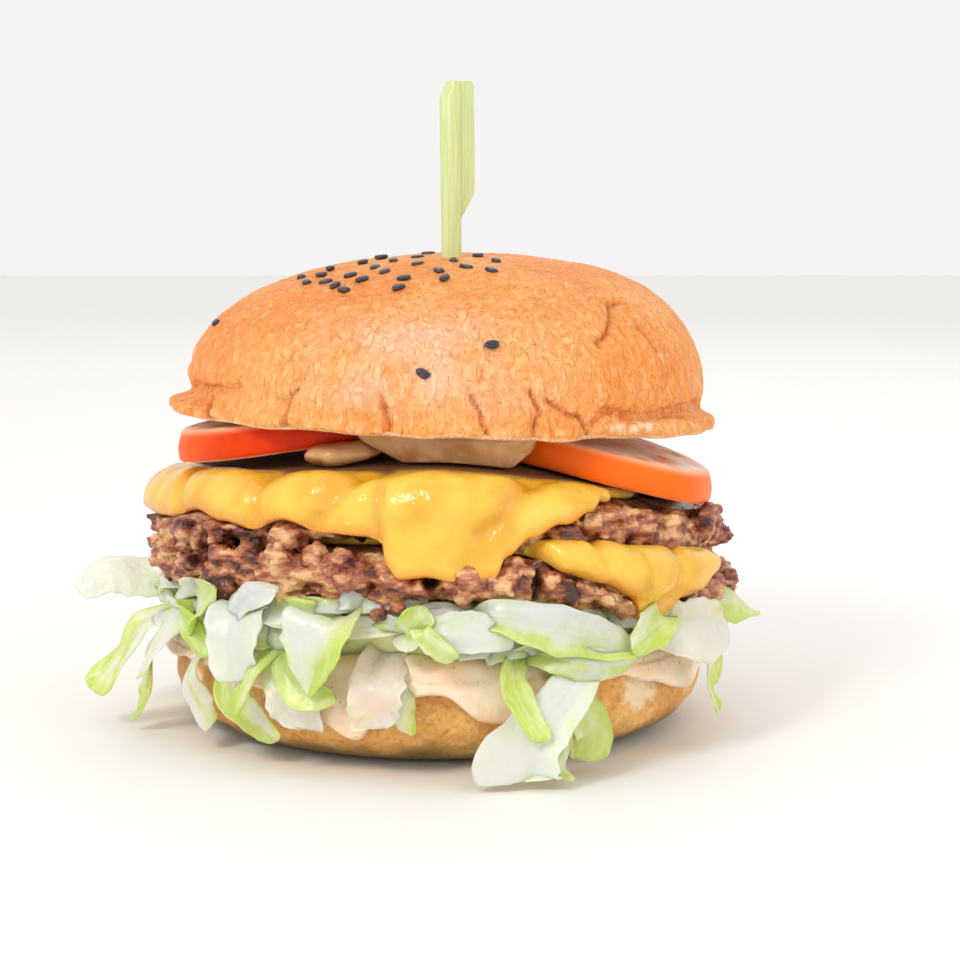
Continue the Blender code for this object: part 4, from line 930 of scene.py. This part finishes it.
def makeTomatoSlice(name, centre, radius, side, finish, node):
    steps = around(280)
    thick = tomatoShape["thick"]
    profile = [(0.03, 1.0), (0.5, 1.0), (0.86, 1.0), (0.945, 1.0), (0.972, 0.965), (0.985, 0.85), (1.0, 0.5),
               (0.994, 0.18), (0.975, 0.04), (0.93, 0.0), (0.86, 0.0), (0.5, 0.0), (0.03, 0.0)]
    keys = []
    for share, level in profile:
        ring = polar(steps, radius * share * wobbly(steps), 0.0, centre)
        ring[:, 2] = tomatoLow(side, ring[:, 0], ring[:, 1]) + level * thick
        keys.append(ring)
    rings = lofted(keys, [8, 10, 5, 4, 4, 8, 7, 4, 4, 4, 6, 4])
    low = float(tomatoLow(side, *np.array(centre)))
    tomato = ballAround(name, rings, (*centre, low + thick), (*centre, low))
    points, normals = meshPoints(tomato), meshNormals(tomato)
    azimuth = azimuthOf(points, centre)
    away = np.hypot(points[:, 0] - centre[0], points[:, 1] - centre[1]) / (radius * wobbly(azimuth))
    level = (points[:, 2] - tomatoLow(side, points[:, 0], points[:, 1])) / thick
    face = between(0.80, 0.97, np.abs(2 * level - 1)) * between(0.99, 0.955, away)
    pockets = (between(0.35, 0.55, away) * between(0.86, 0.78, away)
               * between(0.1, 0.6, np.cos(np.radians(6 * azimuth) + side)))
    relief = -0.5 * pockets * face + 0.06 * ripple(points, 2.5)
    setPoints(tomato, leaning(points + normals * relief[:, None]))
    setValue(tomato, "cutFace", face)
    farEnd = between(0.45, 1.0, (centre[0] - points[:, 0]) / radius)
    setValue(tomato, "lit", 0.95 + 0 * away if side > 0 else 0.5 * farEnd)
    # painted highlight round the rim of the top cut face
    setValue(tomato, "rimHighlight", 0.75 * between(0.93, 0.96, away) * between(0.99, 0.975, away) * (level > 0.5))
    dress(tomato, finish, "tomato", node)


# dressing squeezed out between the slices
mayoShape = {"middle": (-1.0, -37.5), "blob": (-20.6, -39.5, 58.2), "blobHalf": (8.2, 4.6, 2.3),
             "outline": [(-9, -46.4), (-14, -45), (-18.5, -42), (-19, -37.5), (-14, -32), (-8, -26),
                         (-3.4, -19), (2.2, -19), (6.5, -30), (12.5, -36.6), (16.6, -39.2), (16.8, -43),
                         (11, -46), (2, -47.4)]}


def mayoHeight(x, y, level):
    low = np.maximum(upperTop(x, y) + layers["upperCheese"] + 2 * layers["gap"] + 0.2, 57.4 + 0.42 * (-9 - x))
    low = np.maximum(low, 55.4 + 0.85 * (x - 10.5))  # the left and the right end thin out upwards
    high = np.maximum(crownUnder(x, y) - layers["gap"], low + 0.8)
    return low + (high - low) * level


def makeMayo(finish):
    outline, middle = np.array(mayoShape["outline"], float), np.array(mayoShape["middle"])
    curve = []
    for i in range(len(outline)):
        four = [outline[(i + step) % len(outline)] for step in (-1, 0, 1, 2)]
        curve += [curved(*four, step / 10) for step in range(10)]
    curve = np.array(curve)[::-1] if np.cross(curve[0] - middle, curve[5] - middle) < 0 else np.array(curve)
    shift = np.argmin(np.abs(azimuthOf(curve, middle) + 179))
    curve = np.roll(curve, -shift, axis=0)
    keys = []
    for share, level in ((0.04, 1), (0.5, 1), (0.84, 1), (0.95, 0.9), (1.0, 0.66), (1.01, 0.4), (0.96, 0.1),
                         (0.86, 0), (0.5, 0), (0.04, 0)):
        spot = middle + (curve - middle) * share
        keys.append(np.stack([spot[:, 0], spot[:, 1], mayoHeight(spot[:, 0], spot[:, 1], level)], -1))
    rings = lofted(keys, [4, 5, 5, 6, 6, 6, 5, 4, 4])
    mayo = ballAround("dressing", rings, *[(*middle, float(mayoHeight(*middle, level))) for level in (1, 0)])
    points, normals = meshPoints(mayo), meshNormals(mayo)
    side = between(0.9, 0.5, np.abs(normals[:, 2]))
    points += normals * (side * (0.7 * ripple(points, 4.0, 3.0) + 0.3 * ripple(points, 1.8)))[:, None]
    setPoints(mayo, leaning(points))
    deselectAll()
    bpy.ops.mesh.primitive_uv_sphere_add(segments=64, ring_count=40, radius=mm)
    blob = bpy.context.object
    points = meshPoints(blob)
    points = points * np.array(mayoShape["blobHalf"]) + mayoShape["blob"]
    points[:, 2] += 0.10 * (points[:, 0] - mayoShape["blob"][0])
    points += (points - mayoShape["blob"]) * (0.34 * ripple(points, 5.0, 2.0))[:, None]
    setPoints(blob, leaning(points))
    mayo = joinAll([mayo, blob], "dressing")
    bpy.ops.object.shade_smooth()
    dress(mayo, finish, "mayo", "mayo")


# bottom bun and the sauce on it
heelShape = {"centre": (-1.5, 0.0), "radius": 55.0, "belly": 12.5, "top": 19.5, "foot": 40.0, "rimDrop": 1.6,
             "crumbSpots": [(48, 13.5, 7, 5), (-66, 12, 6, 4), (-48, 9, 8, 3), (150, 12, 10, 5),
                            (-120, 13, 9, 4)]}
sauceShape = {"thick": 2.2, "bulge": 1.4, "corner": 0.8, "lip": 0.8, "rows": 39,
              "run": [(-170, 6), (-145, 3), (-120, 9), (-95, 3.5), (-70, 5), (-52, 3.5), (-36, 6), (-26, 9),
                      (-15, 14), (-8, 6), (1, 5), (9, 10), (18, 11), (28, 6), (38, 4), (48, 7), (60, 10),
                      (72, 4), (95, 3.5), (120, 3.5), (150, 9)]}


def heelRadius(height):
    share = np.clip((heelShape["belly"] - height) / heelShape["belly"], 0, 1)
    under = heelShape["foot"] + (heelShape["radius"] - heelShape["foot"]) * np.sqrt(1 - share ** 2.3)
    above = heelShape["radius"] - heelShape["rimDrop"] * (
        (height - heelShape["belly"]) / (heelShape["top"] - heelShape["belly"])) ** 2
    return np.where(height < heelShape["belly"], under, above)


def makeBottomBun(finish):
    steps = around(360)
    centre, top = heelShape["centre"], heelShape["top"]
    heights = heelShape["belly"] * (1 - np.cos(np.linspace(0.02, math.pi / 2, 46)))
    keys = [polar(steps, radius, top, centre) for radius in (20.0, 48.0, heelShape["radius"] - 2.6)]
    side = [polar(steps, heelRadius(np.array(height)), height, centre)
            for height in [18.9, 18.2, 17.2, 16.0, 14.8, 13.6] + list(heights[::-1])]
    foot = [polar(steps, radius, 0.0, centre) for radius in (38.5, 30.0, 12.0)]
    rings = np.concatenate([lofted(keys, [4, 5]), np.array(side), np.array(foot)])
    heel = ballAround("bottomBun", rings, (*centre, top), (*centre, 0))
    points, normals = meshPoints(heel), meshNormals(heel)
    azimuth = azimuthOf(points, centre)
    outside = between(0.0, 3.0, points[:, 2]) * between(19.4, 18.4, points[:, 2])
    crumb = np.zeros(len(points))
    for at, height, wide, tall in heelShape["crumbSpots"]:
        reach = np.hypot((azimuth - at) / wide, (points[:, 2] - height) / tall) + 0.35 * ripple(points, 2.2)
        crumb = np.maximum(crumb, between(1.0, 0.75, reach))
    relief = 0.55 * ripple(points, 7.0, 5.0) + 0.25 * ripple(points, 2.4) + 0.12 * ripple(points, 1.1)
    fold = ripple(points * np.array([0.5, 0.5, 1.6]), 4.0, 3.0)
    relief += 0.3 * fold - 0.6 * crumb + 0.25 * crumb * ripple(points, 1.3, 4.0)
    setPoints(heel, points + normals * (relief * outside)[:, None])
    setValue(heel, "crumb", np.maximum(crumb, 1.0 * (points[:, 2] > 19.0)))
    # painted shade: olive-grey low down on the heel, darker towards the bottom
    setValue(heel, "under", 0.85 * between(6.4, 2.0, points[:, 2] + 1.6 * ripple(points, 5.0)))
    dress(heel, finish, "bun_heel", "bun_heel")


def makeSauceLayer(finish):
    steps = around(360)
    rim = heelShape["radius"] - heelShape["rimDrop"]
    corner = sauceShape["corner"]
    run = eased(sauceShape["run"], steps) + 1.1 * ripple(polar(steps, 24, 0.0), 3.0, 2.0)
    bulge = sauceShape["bulge"] * np.exp(-((steps + 2) / 26) ** 2)
    centre, top = heelShape["centre"], heelShape["top"]

    def place(along, off):
        angle = np.clip((along - rim) / (2 * corner), 0, math.pi / 2)
        down = np.maximum(along - rim - math.pi * corner, 0)
        height = top - corner - down
        onTop = along <= rim
        turning = (along > rim) & (angle < math.pi / 2)
        reach = np.where(onTop, along, np.where(turning, rim + (corner + off) * np.sin(angle),
                                               heelRadius(height) + corner + off))
        level = np.where(onTop, top + off,
                         np.where(turning, top - corner + (corner + off) * np.cos(angle), height))
        return polar(steps, reach, level, centre)

    gap, thick, lip = layers["gap"], sauceShape["thick"], sauceShape["lip"]
    rings = [place(radius + 0 * steps, gap + thick) for radius in (4.0, 26.0, 44.0, 50.0, rim - 0.2)]
    run -= lip
    for i in range(1, sauceShape["rows"] + 1):
        along = rim + run * i / sauceShape["rows"]
        swell = 0.55 * ripple(polar(steps, 26 + along / 3, along), 4.5)
        swell += 0.3 * ripple(polar(steps, 40, along), 2.2)
        rings.append(place(along, gap + np.maximum(thick + bulge + swell, 0.5)))
    for turn in (25, 50, 75, 100, 130, 160):
        s, c = math.sin(math.radians(turn)), math.cos(math.radians(turn))
        rings.append(place(rim + run + lip * s, gap + (0.5 + 0.5 * c) * (thick + bulge) * 0.9))
    rings += [place(rim + run * i / 9, gap + 0 * steps) for i in range(8, 0, -1)]
    rings += [place(radius + 0 * steps, gap + 0 * steps) for radius in (rim - 0.2, 44.0, 26.0, 4.0)]
    sauce = ballAround("burgerSauce", np.array(rings), (*centre, top + gap + thick), (*centre, top + gap))
    dress(sauce, finish, "burger_sauce", "sauce")


# lettuce
# A leaf is its tint, the turn of its face, then its spine as (azimuth, radius, height, half width).
lettuceShape = {"bedRadius": 56.5, "bedBottom": 22.5, "thick": 0.36, "shreds": 90, "blunt": 0.55,
                "bend": 30, "leafGrid": (40, 22), "shredGrid": (16, 6), "atBack": 8,
                "pointed": ("slant", "tail", "pale", "wedge", "farRight")}
frontLeaves = {
    "ghost": ("white", 75, [(-84, 54, 28, 4), (-84, 62, 30, 4.5), (-83, 70, 31, 4.5), (-82, 77.0, 28, 2)]),
    "leftTip": ("green", 15, [(-76, 54, 26, 2.5), (-76, 64, 22, 4), (-77, 69, 14, 4.5), (-78, 74.5, 8, 3)]),
    "leftHook": ("green", 5, [(-70, 54, 25, 2), (-72, 62.5, 18, 2), (-72, 64, 9, 3), (-75, 66, 3.5, 3)]),
    "slant": ("pale", 0, [(-60, 53, 31, 3), (-63, 61, 26, 4.5), (-68, 65, 17, 4.5), (-71, 66, 12, 1)]),
    "olive": ("deep", 0, [(-60, 55, 27, 2), (-57, 62.5, 28, 2.3), (-51, 63.5, 25.5, 2.8),
                          (-46, 63.5, 21, 1.6)]),
    "round": ("green", 0, [(-52, 53, 27, 4), (-51, 61.8, 28, 4.6), (-48, 63, 32, 4.8), (-46, 62.5, 35, 3)]),
    "rib": ("white", 0, [(-44, 54, 27, 2.5), (-42, 61.8, 29, 3), (-37, 62.6, 34, 3), (-31, 62, 35, 2)]),
    "white": ("white", 0, [(-39, 54, 29, 4), (-39, 62, 30.5, 5.6), (-38.5, 64.5, 25, 6.0),
                           (-38, 64.5, 17.5, 4)]),
    "pale": ("half", 0, [(-21, 54, 29, 5), (-21, 62.5, 31, 7.6), (-21.5, 65, 26, 8.2), (-23, 65, 16.6, 1)]),
    "tail": ("deep", 0, [(-33, 54, 25, 2), (-34, 64, 21, 2.2), (-36, 66, 15.5, 2.2), (-39, 66, 11, 1.2)]),
    "sprig": ("deep", 0, [(-32, 54, 25, 2), (-30, 61.5, 22, 2.6), (-25, 63.5, 16.5, 3.2),
                          (-19, 63.5, 17, 1.5)]),
    "coated": ("creamy", 0, [(-31, 54, 24, 4), (-29, 61.5, 18, 5.5), (-27, 62, 13, 5.5),
                             (-26, 60.5, 9, 3.5)]),
    "lowLeft": ("pale", 0, [(-57, 54, 24, 2), (-56, 61, 16, 3), (-54, 60, 9, 3), (-52, 58.5, 5.5, 1.5)]),
    "lowStrip": ("green", 0, [(-45, 54, 24, 2), (-43, 61, 15, 3), (-38, 60, 9, 3), (-34, 58, 5, 1.5)]),
    "nook": ("green", 0, [(-7, 54, 28, 3), (-6, 61.8, 28.5, 3.4), (-4, 62.2, 31.5, 3), (-2, 62, 33, 2)]),
    "middle": ("white", 0, [(-6, 54, 28, 3), (-2, 62.5, 29.5, 3.8), (5, 63.8, 29.6, 4.4), (12.5, 63, 29, 3)]),
    "fold": ("green", 0, [(-4, 54, 28, 1.5), (-3.5, 64.4, 30, 2), (-1.5, 65, 27.5, 2.2),
                          (2, 64.5, 24.5, 1.4)]),
    "creamed": ("coated", 0, [(-11, 54, 24, 4), (-11.5, 62.5, 19, 6), (-12, 63, 14, 5.5),
                              (-13, 62.5, 10.5, 2.5)]),
    "nib": ("green", 0, [(-7, 54, 23, 2), (-7, 61.5, 15, 2.4), (-6, 61, 9.5, 1.4)]),
    "wave": ("half", 0, [(7, 54, 28.5, 3), (9, 62.5, 32.4, 3.2), (20, 64, 29.0, 5.2), (36, 62.5, 24.6, 3.4)]),
    "curl": ("green", 0, [(46, 54, 28, 3), (44, 61.5, 29, 3.6), (39, 63.5, 27, 4.2), (34, 64.5, 24.5, 2)]),
    "wedge": ("pale", 0, [(17, 54, 24, 3), (20, 63, 24, 3.6), (28, 64.5, 22, 3.2), (37, 62, 22, 1)]),
    "stem": ("white", 0, [(30, 54, 24, 3.5), (25, 63, 20.5, 4), (16, 67, 11.5, 6.2), (12.5, 68, 5, 8.5),
                          (12, 68, 1.6, 7)]),
    "bright": ("deep", 0, [(15, 54, 24, 2), (12, 64, 20, 3), (13.5, 68.5, 14.5, 3.3), (15.5, 70, 9.5, 1.4)]),
    "drop": ("green", 0, [(26, 54, 24, 3), (25.5, 63, 14, 4.5), (27, 64, 8, 4.8), (25, 63.5, 3.5, 1.5)]),
    "scrap": ("green", 0, [(23, 54, 24, 2), (21, 64, 10, 1.6), (19, 66, 4, 2), (20, 69, 1.6, 1.4)]),
    "blush": ("blush", 0, [(42, 54, 27, 4), (47, 62, 26, 6), (54, 63, 25, 7.2), (63, 62.5, 26.5, 4)]),
    "farRight": ("green", 35, [(60, 54, 28, 3), (69, 61.5, 27.5, 4), (80, 65.5, 23.5, 1)]),
    "rightCurl": ("deep", 0, [(60, 54, 24, 2), (60, 62, 20, 2), (57, 63, 13, 2.4), (60, 63.5, 7.5, 1.4)]),
    "rightBack": ("pale", 0, [(112, 53, 24, 5), (113, 58.5, 24, 6), (114, 59.5, 18, 3)]),
}
# green on one side, green added on the other side, peach from the sauce
tints = {"white": (0.04, 0.10, 0.0), "half": (0.06, 0.62, 0.0), "pale": (0.20, 0.32, 0.0),
         "green": (0.42, 0.34, 0.0), "deep": (0.62, 0.34, 0.0), "coated": (0.05, 0.20, 0.9),
         "creamy": (0.05, 0.15, 0.3), "blush": (0.06, 0.25, 0.55)}


def bedTop(x, y):
    return float(leaning(np.array([x, y, float(lowerBottom(x, y))]))[2]) - layers["gap"]


def alongSpine(spine, share):
    spans = len(spine) - 1
    place = min(max(share, 0.0) * spans, spans - 1e-6)
    i = int(place)
    four = spine[max(i - 1, 0)], spine[i], spine[i + 1], spine[min(i + 2, spans)]
    return [curved(*values, place - i) for values in zip(*four)]


def rooted(spine, blunt):  # the hidden end stays inside the bed, and the free end is cut off
    points = []
    for azimuth, radius, height, half in spine:
        if radius < lettuceShape["bedRadius"] - 1:
            x, y = polar(azimuth, radius, 0.0)[:2]
            height = min(max(height, lettuceShape["bedBottom"] + 0.9), bedTop(x, y) - 1.2)
        points.append((azimuth, radius, height, half))
    if blunt:
        widest = max(point[3] for point in spine)
        points[-1] = (*points[-1][:3], max(points[-1][3], lettuceShape["blunt"] * widest))
    return points


def leafFrame(spine, share, twist):
    # a place on the spine, the directions along, across and out there, and the half width
    spans = len(spine) - 1
    azimuth, radius, height, half = alongSpine(spine, share)
    ahead = polar(*alongSpine(spine, min(1.0, share + 0.05))[:3])
    behind = polar(*alongSpine(spine, max(0.0, share - 0.05))[:3])
    along = (ahead - behind) / np.linalg.norm(ahead - behind)
    out = polar(azimuth, 1.0, 0.35)
    out = out - along * out.dot(along)
    out /= np.linalg.norm(out)
    across = np.cross(along, out)
    turn = math.radians(twist)
    side = across * math.cos(turn) + out * math.sin(turn)
    out = out * math.cos(turn) - across * math.sin(turn)
    first = min(int(share * spans), spans - 1)
    straight = spine[first][3] + (spine[first + 1][3] - spine[first][3]) * (share * spans - first)
    late = max(0.0, (share - 0.90) / 0.10)
    half = max(0.5 * half + 0.5 * straight, 0.7) * math.sqrt(max(0.06, 1 - late ** 3.5))
    return share, polar(azimuth, radius, height), along, side, out, half


def makeLeafPiece(tint, twist, spine, seed, rows, columns, blunt=True):
    spine = rooted(spine, blunt)
    deselectAll()
    bpy.ops.mesh.primitive_grid_add(x_subdivisions=columns, y_subdivisions=rows, size=2 * mm)
    leaf = bpy.context.object
    flat = meshPoints(leaf)
    values = sorted(set(np.round(flat[:, 1], 5)))
    frames = {value: leafFrame(spine, (value + 1) / 2, twist) for value in values}
    nearSide, farSide, peach = tints[tint]
    facing = 1 if seed % 2 else -1
    askew = 0.45 * math.sin(seed * 2.7) * blunt  # the end is cut askew
    crease = 0.15 + 0.3 * math.sin(seed * 1.9) ** 2  # one side is folded over along a line
    bend = math.radians(lettuceShape["bend"]) * (1 if seed % 3 else -0.8)
    placed, green, vein, blush = [], [], [], []
    for s, value in zip(flat[:, 0], np.round(flat[:, 1], 5)):
        share, spot, along, side, out, half = frames[value]
        edge = math.copysign(1, s)
        ragged = (1 + 0.14 * noise.noise((share * 3, seed * 3.1, edge))
                  - 0.22 * abs(noise.noise((share * 6, seed, edge))))
        wave = 0.8 * s * math.sin(share * 5 + seed * 2.4) - 0.02 * half * s * s
        ruffle = abs(s) ** 3 * 0.75 * math.sin(share * 13 + seed + s * 2) * min(1.0, half / 4)
        crinkle = 0.45 * noise.noise((share * 4, s * 1.6, seed * 5.1)) * min(1.0, half / 3)
        beyond = max(0.0, s * facing - crease) * half
        point = (spot + side * (s * half * ragged - facing * beyond * (1 - math.cos(bend)))
                 + along * askew * s * half * between(0.6, 1.0, share)
                 + out * (wave + ruffle + crinkle + beyond * math.sin(bend)))
        point[2] = max(point[2], 0.8)
        placed.append(point)
        green.append(nearSide + farSide * between(-0.7, 0.9, s * facing)
                     + 0.18 * between(0.6, 1.0, share) * (farSide > 0.2) + 0.12 * between(0.75, 1.0, abs(s))
                     + 0.45 * noise.noise((share * 2, s * 1.2, seed * 7.7)))
        branch = abs(math.sin(2.2 * (share * 2.6 - abs(s) * 0.9) + seed))
        midrib = 0.35 * math.exp(-(s / 0.07) ** 2) * (1 - share * 0.8)
        vein.append(max(midrib, 0.14 * between(0.955, 0.995, branch)))
        blush.append(peach * (0.75 + 0.8 * noise.noise((share * 3, s * 1.5, seed * 1.3))))
    setPoints(leaf, np.array(placed))
    setValue(leaf, "green", np.array(green))
    setValue(leaf, "vein", np.array(vein))
    setValue(leaf, "blush", np.clip(blush, 0, 1))
    return leaf


def backSpines():  # round the sides and back, the same draw as in the part's source
    draw = random.Random(5)
    spines = []
    for i in range(lettuceShape["atBack"]):
        azimuth = 126 + 132 * (i + 0.5) / lettuceShape["atBack"]
        turn, wide, end = draw.uniform(-7, 7), draw.uniform(4.0, 7.0), draw.uniform(5, 18)
        spines.append([(azimuth, 53, 26, 0.6 * wide), (azimuth + turn / 2, 61.5, 25.5, wide),
                       (azimuth + turn, 64, (25 + end) / 2, wide), (azimuth + 1.4 * turn, 65, end, 1.2)])
    return spines


def makeLettuce(finish):
    leaves = []
    for seed, (name, (tint, twist, spine)) in enumerate(frontLeaves.items()):
        leaves.append(makeLeafPiece(tint, twist, spine, seed, *lettuceShape["leafGrid"],
                                    name not in lettuceShape["pointed"]))
    for i, spine in enumerate(backSpines()):
        leaves.append(makeLeafPiece(("pale", "green", "white")[i % 3], 0, spine, len(frontLeaves) + i,
                                    *lettuceShape["leafGrid"]))
    draw = random.Random(21)
    for i in range(lettuceShape["shreds"]):  # ribbons laid along the rim of the pressed bed
        azimuth = -180 + 360 * (i + draw.random()) / lettuceShape["shreds"]
        reach, wide = draw.uniform(5, 10) * draw.choice((-1, 1)), draw.uniform(1.6, 3.2)
        x, y = polar(azimuth, 55, 0.0)[:2]
        low, high = 24.0, bedTop(x, y) + 0.6
        start, far = draw.uniform(low, high), draw.uniform(57.6, 60.2)
        spine = [(azimuth - reach, 53, start, wide * 0.8),
                 (azimuth - reach * 0.4, far - 0.4, start + draw.uniform(-1, 1), wide),
                 (azimuth + reach * 0.4, far, start + draw.uniform(-1.4, 0.6), wide),
                 (azimuth + reach, far - 1.5, max(start - draw.uniform(0.5, 4), 22.5), wide * 0.8)]
        tint = draw.choice(("white", "half", "half", "pale", "pale", "green", "creamy"))
        leaves.append(makeLeafPiece(tint, draw.uniform(-30, 30), spine, 60 + i, *lettuceShape["shredGrid"]))
    lettuce = joinAll(leaves, "lettuceLeaves")
    bpy.ops.object.shade_smooth()
    thicken = lettuce.modifiers.new("leaf thickness", "SOLIDIFY")
    thicken.thickness = lettuceShape["thick"] * mm
    thicken.offset = 0
    applyAll(lettuce)

    # the pressed body behind the leaves
    steps = around(200)
    keys = []
    for radius in (4.0, 34.0, 50.0, 54.0):
        ring = polar(steps, radius, 0.0)
        ring[:, 2] = [bedTop(x, y) - 0.3 for x, y in ring[:, :2]]
        keys.append(ring)
    keys.append(polar(steps, 55.4 + ripple(polar(steps, 12, 0.0), 2.4),
                      (keys[-1][:, 2] + lettuceShape["bedBottom"]) / 2))
    keys += [polar(steps, radius, lettuceShape["bedBottom"]) for radius in (54.0, 50.0, 34.0, 4.0)]
    bed = ballAround("lettuceBed", lofted(keys, [2, 2, 2, 10, 10, 2, 2, 2]), (0, 0, bedTop(0, 0) - 0.3),
                     (0, 0, lettuceShape["bedBottom"]))
    points, normals = meshPoints(bed), meshNormals(bed)
    edge = between(50, 54, np.hypot(points[:, 0], points[:, 1]))
    points += normals * (edge * 1.2 * ripple(points, 5.0, 2.0))[:, None]
    setPoints(bed, points)
    setValue(bed, "green", 0.5 + 0.5 * ripple(points, 4.0, 1.0))
    setValue(bed, "vein", 0 * edge)
    setValue(bed, "blush", 0.25 * edge)
    lettuce = joinAll([lettuce, bed], "lettuceLeaves")
    dress(lettuce, finish, "lettuce", "lettuce")


# bamboo pick with a thin blade
pickShape = {"place": (1.1, -14.0, 95.4), "stick": 3.1, "top": 132.3, "tip": 15.0, "point": 9.0, "turn": 38.0,
             "lean": 0.8, "chamfer": (1.6, 3.4), "bladeWide": 7.1, "bladeLong": 22.5, "taper": 6.1,
             "bladeThick": 2.0, "corner": 1.2, "worn": 0.35}


def flatPrism(name, outline, thick):
    deselectAll()
    bpy.ops.mesh.primitive_circle_add(vertices=len(outline), radius=mm, fill_type="NGON")
    prism = bpy.context.object
    prism.name = name
    setPoints(prism, np.array([(x, thick / 2, z) for x, z in outline]))
    bpy.ops.object.mode_set(mode="EDIT")
    bpy.ops.mesh.select_all(action="SELECT")
    bpy.ops.mesh.extrude_region_move(TRANSFORM_OT_translate={"value": (0, -thick * mm, 0)})
    bpy.ops.mesh.select_all(action="SELECT")
    bpy.ops.mesh.normals_make_consistent(inside=False)
    bpy.ops.object.mode_set(mode="OBJECT")
    return prism


def makePick(finish):
    half, round_ = pickShape["stick"] / 2, pickShape["corner"]
    wide = pickShape["bladeWide"] - half
    cut, drop = pickShape["chamfer"]
    bladeTop = pickShape["top"]
    top, low = bladeTop - 0.3, bladeTop - pickShape["bladeLong"]  # the stick ends just under the blade
    foot, point = low - pickShape["taper"], pickShape["tip"] + pickShape["point"]
    stick = flatPrism("stick", [(0, pickShape["tip"]), (half, point), (half, top), (cut - half, top),
                                (-half, top - drop), (-half, point)], pickShape["stick"])
    corner = [(wide + round_ * (math.sin(turn) - 1), bladeTop + round_ * (math.cos(turn) - 1))
              for turn in np.radians([90, 65, 40, 15])]
    heel = [(half + 0.7, foot + 1.4), (wide - 0.4, low - 0.6), (wide, low + 1.0)]
    outline = [(0, foot), (half, foot)] + heel + corner + [(0, bladeTop)]
    blade = flatPrism("blade", outline, pickShape["bladeThick"])
    for part in (stick, blade):
        soften = part.modifiers.new("worn edges", "BEVEL")
        soften.width = pickShape["worn"] * mm
        soften.segments = 3
        soften.limit_method = "ANGLE"
    union = stick.modifiers.new("one stick", "BOOLEAN")
    union.operation = "UNION"
    union.object = blade
    applyAll(blade)
    applyAll(stick)
    bpy.data.objects.remove(blade)
    lean, turn = math.radians(pickShape["lean"]), math.radians(pickShape["turn"])
    x, y, z = pickShape["place"]
    stick.location = ((x + z * math.sin(lean)) * mm, y * mm, 0)
    stick.rotation_euler = (0, -lean, turn)
    selectOnly(stick)
    bpy.ops.object.transform_apply(location=True, rotation=True, scale=True)
    bpy.ops.object.shade_smooth_by_angle(angle=math.radians(35))
    stick.name = "bambooPick"
    dress(stick, finish, "bamboo", "pick")


# build
crust = makeCrust()
beef = makeBeef()
cheese = makeCheese()
tomato = makeTomato()
# the cream dressing's colours are darkened to tan, painted shade from the bun above
mayoFinish = makeSauce("creamDressing", {"deep": (184, 130, 82), "light": (214, 170, 118),
                                         "fleck": (166, 106, 62)}, 0.3)
sauceFinish = makeSauce("burgerSauceFinish", {"deep": (255, 208, 168), "light": (255, 230, 204),
                                              "fleck": (132, 70, 42)}, 0.8)

makeCrown(crust)
makeSeeds(makeSesame())
print("top bun and seeds done")
makePatty("upperPatty", upperPatty, beef, "patty_upper")
makePatty("lowerPatty", lowerPatty, beef, "patty_lower")
print("patties done")
makeCheeseSlice("upperCheese", upperSlice, cheese, "cheese_upper")
makeCheeseSlice("lowerCheese", lowerSlice, cheese, "cheese_lower")
print("cheese done")
makeTomatoSlice("leftTomato", *tomatoShape["left"], tomato, "tomato_left")
makeTomatoSlice("rightTomato", *tomatoShape["right"], tomato, "tomato_right")
makeMayo(mayoFinish)
print("tomato and dressing done")
makeBottomBun(makeHeel())
makeSauceLayer(sauceFinish)
makeLettuce(makeLeaf())
print("bottom bun, sauce and lettuce done")
makePick(makeBamboo())

bpy.ops.mesh.primitive_plane_add(size=studio["floorSize"], location=(0, 0, -0.0002))
floor = bpy.context.object
floor.name = "floor"
floorFinish, _, floorShader = newFinish("paleFloor", 0.7)
floorShader.inputs["Base Color"].default_value = screen(244, 243, 241)
floor.data.materials.append(floorFinish)
print("pick and floor done")
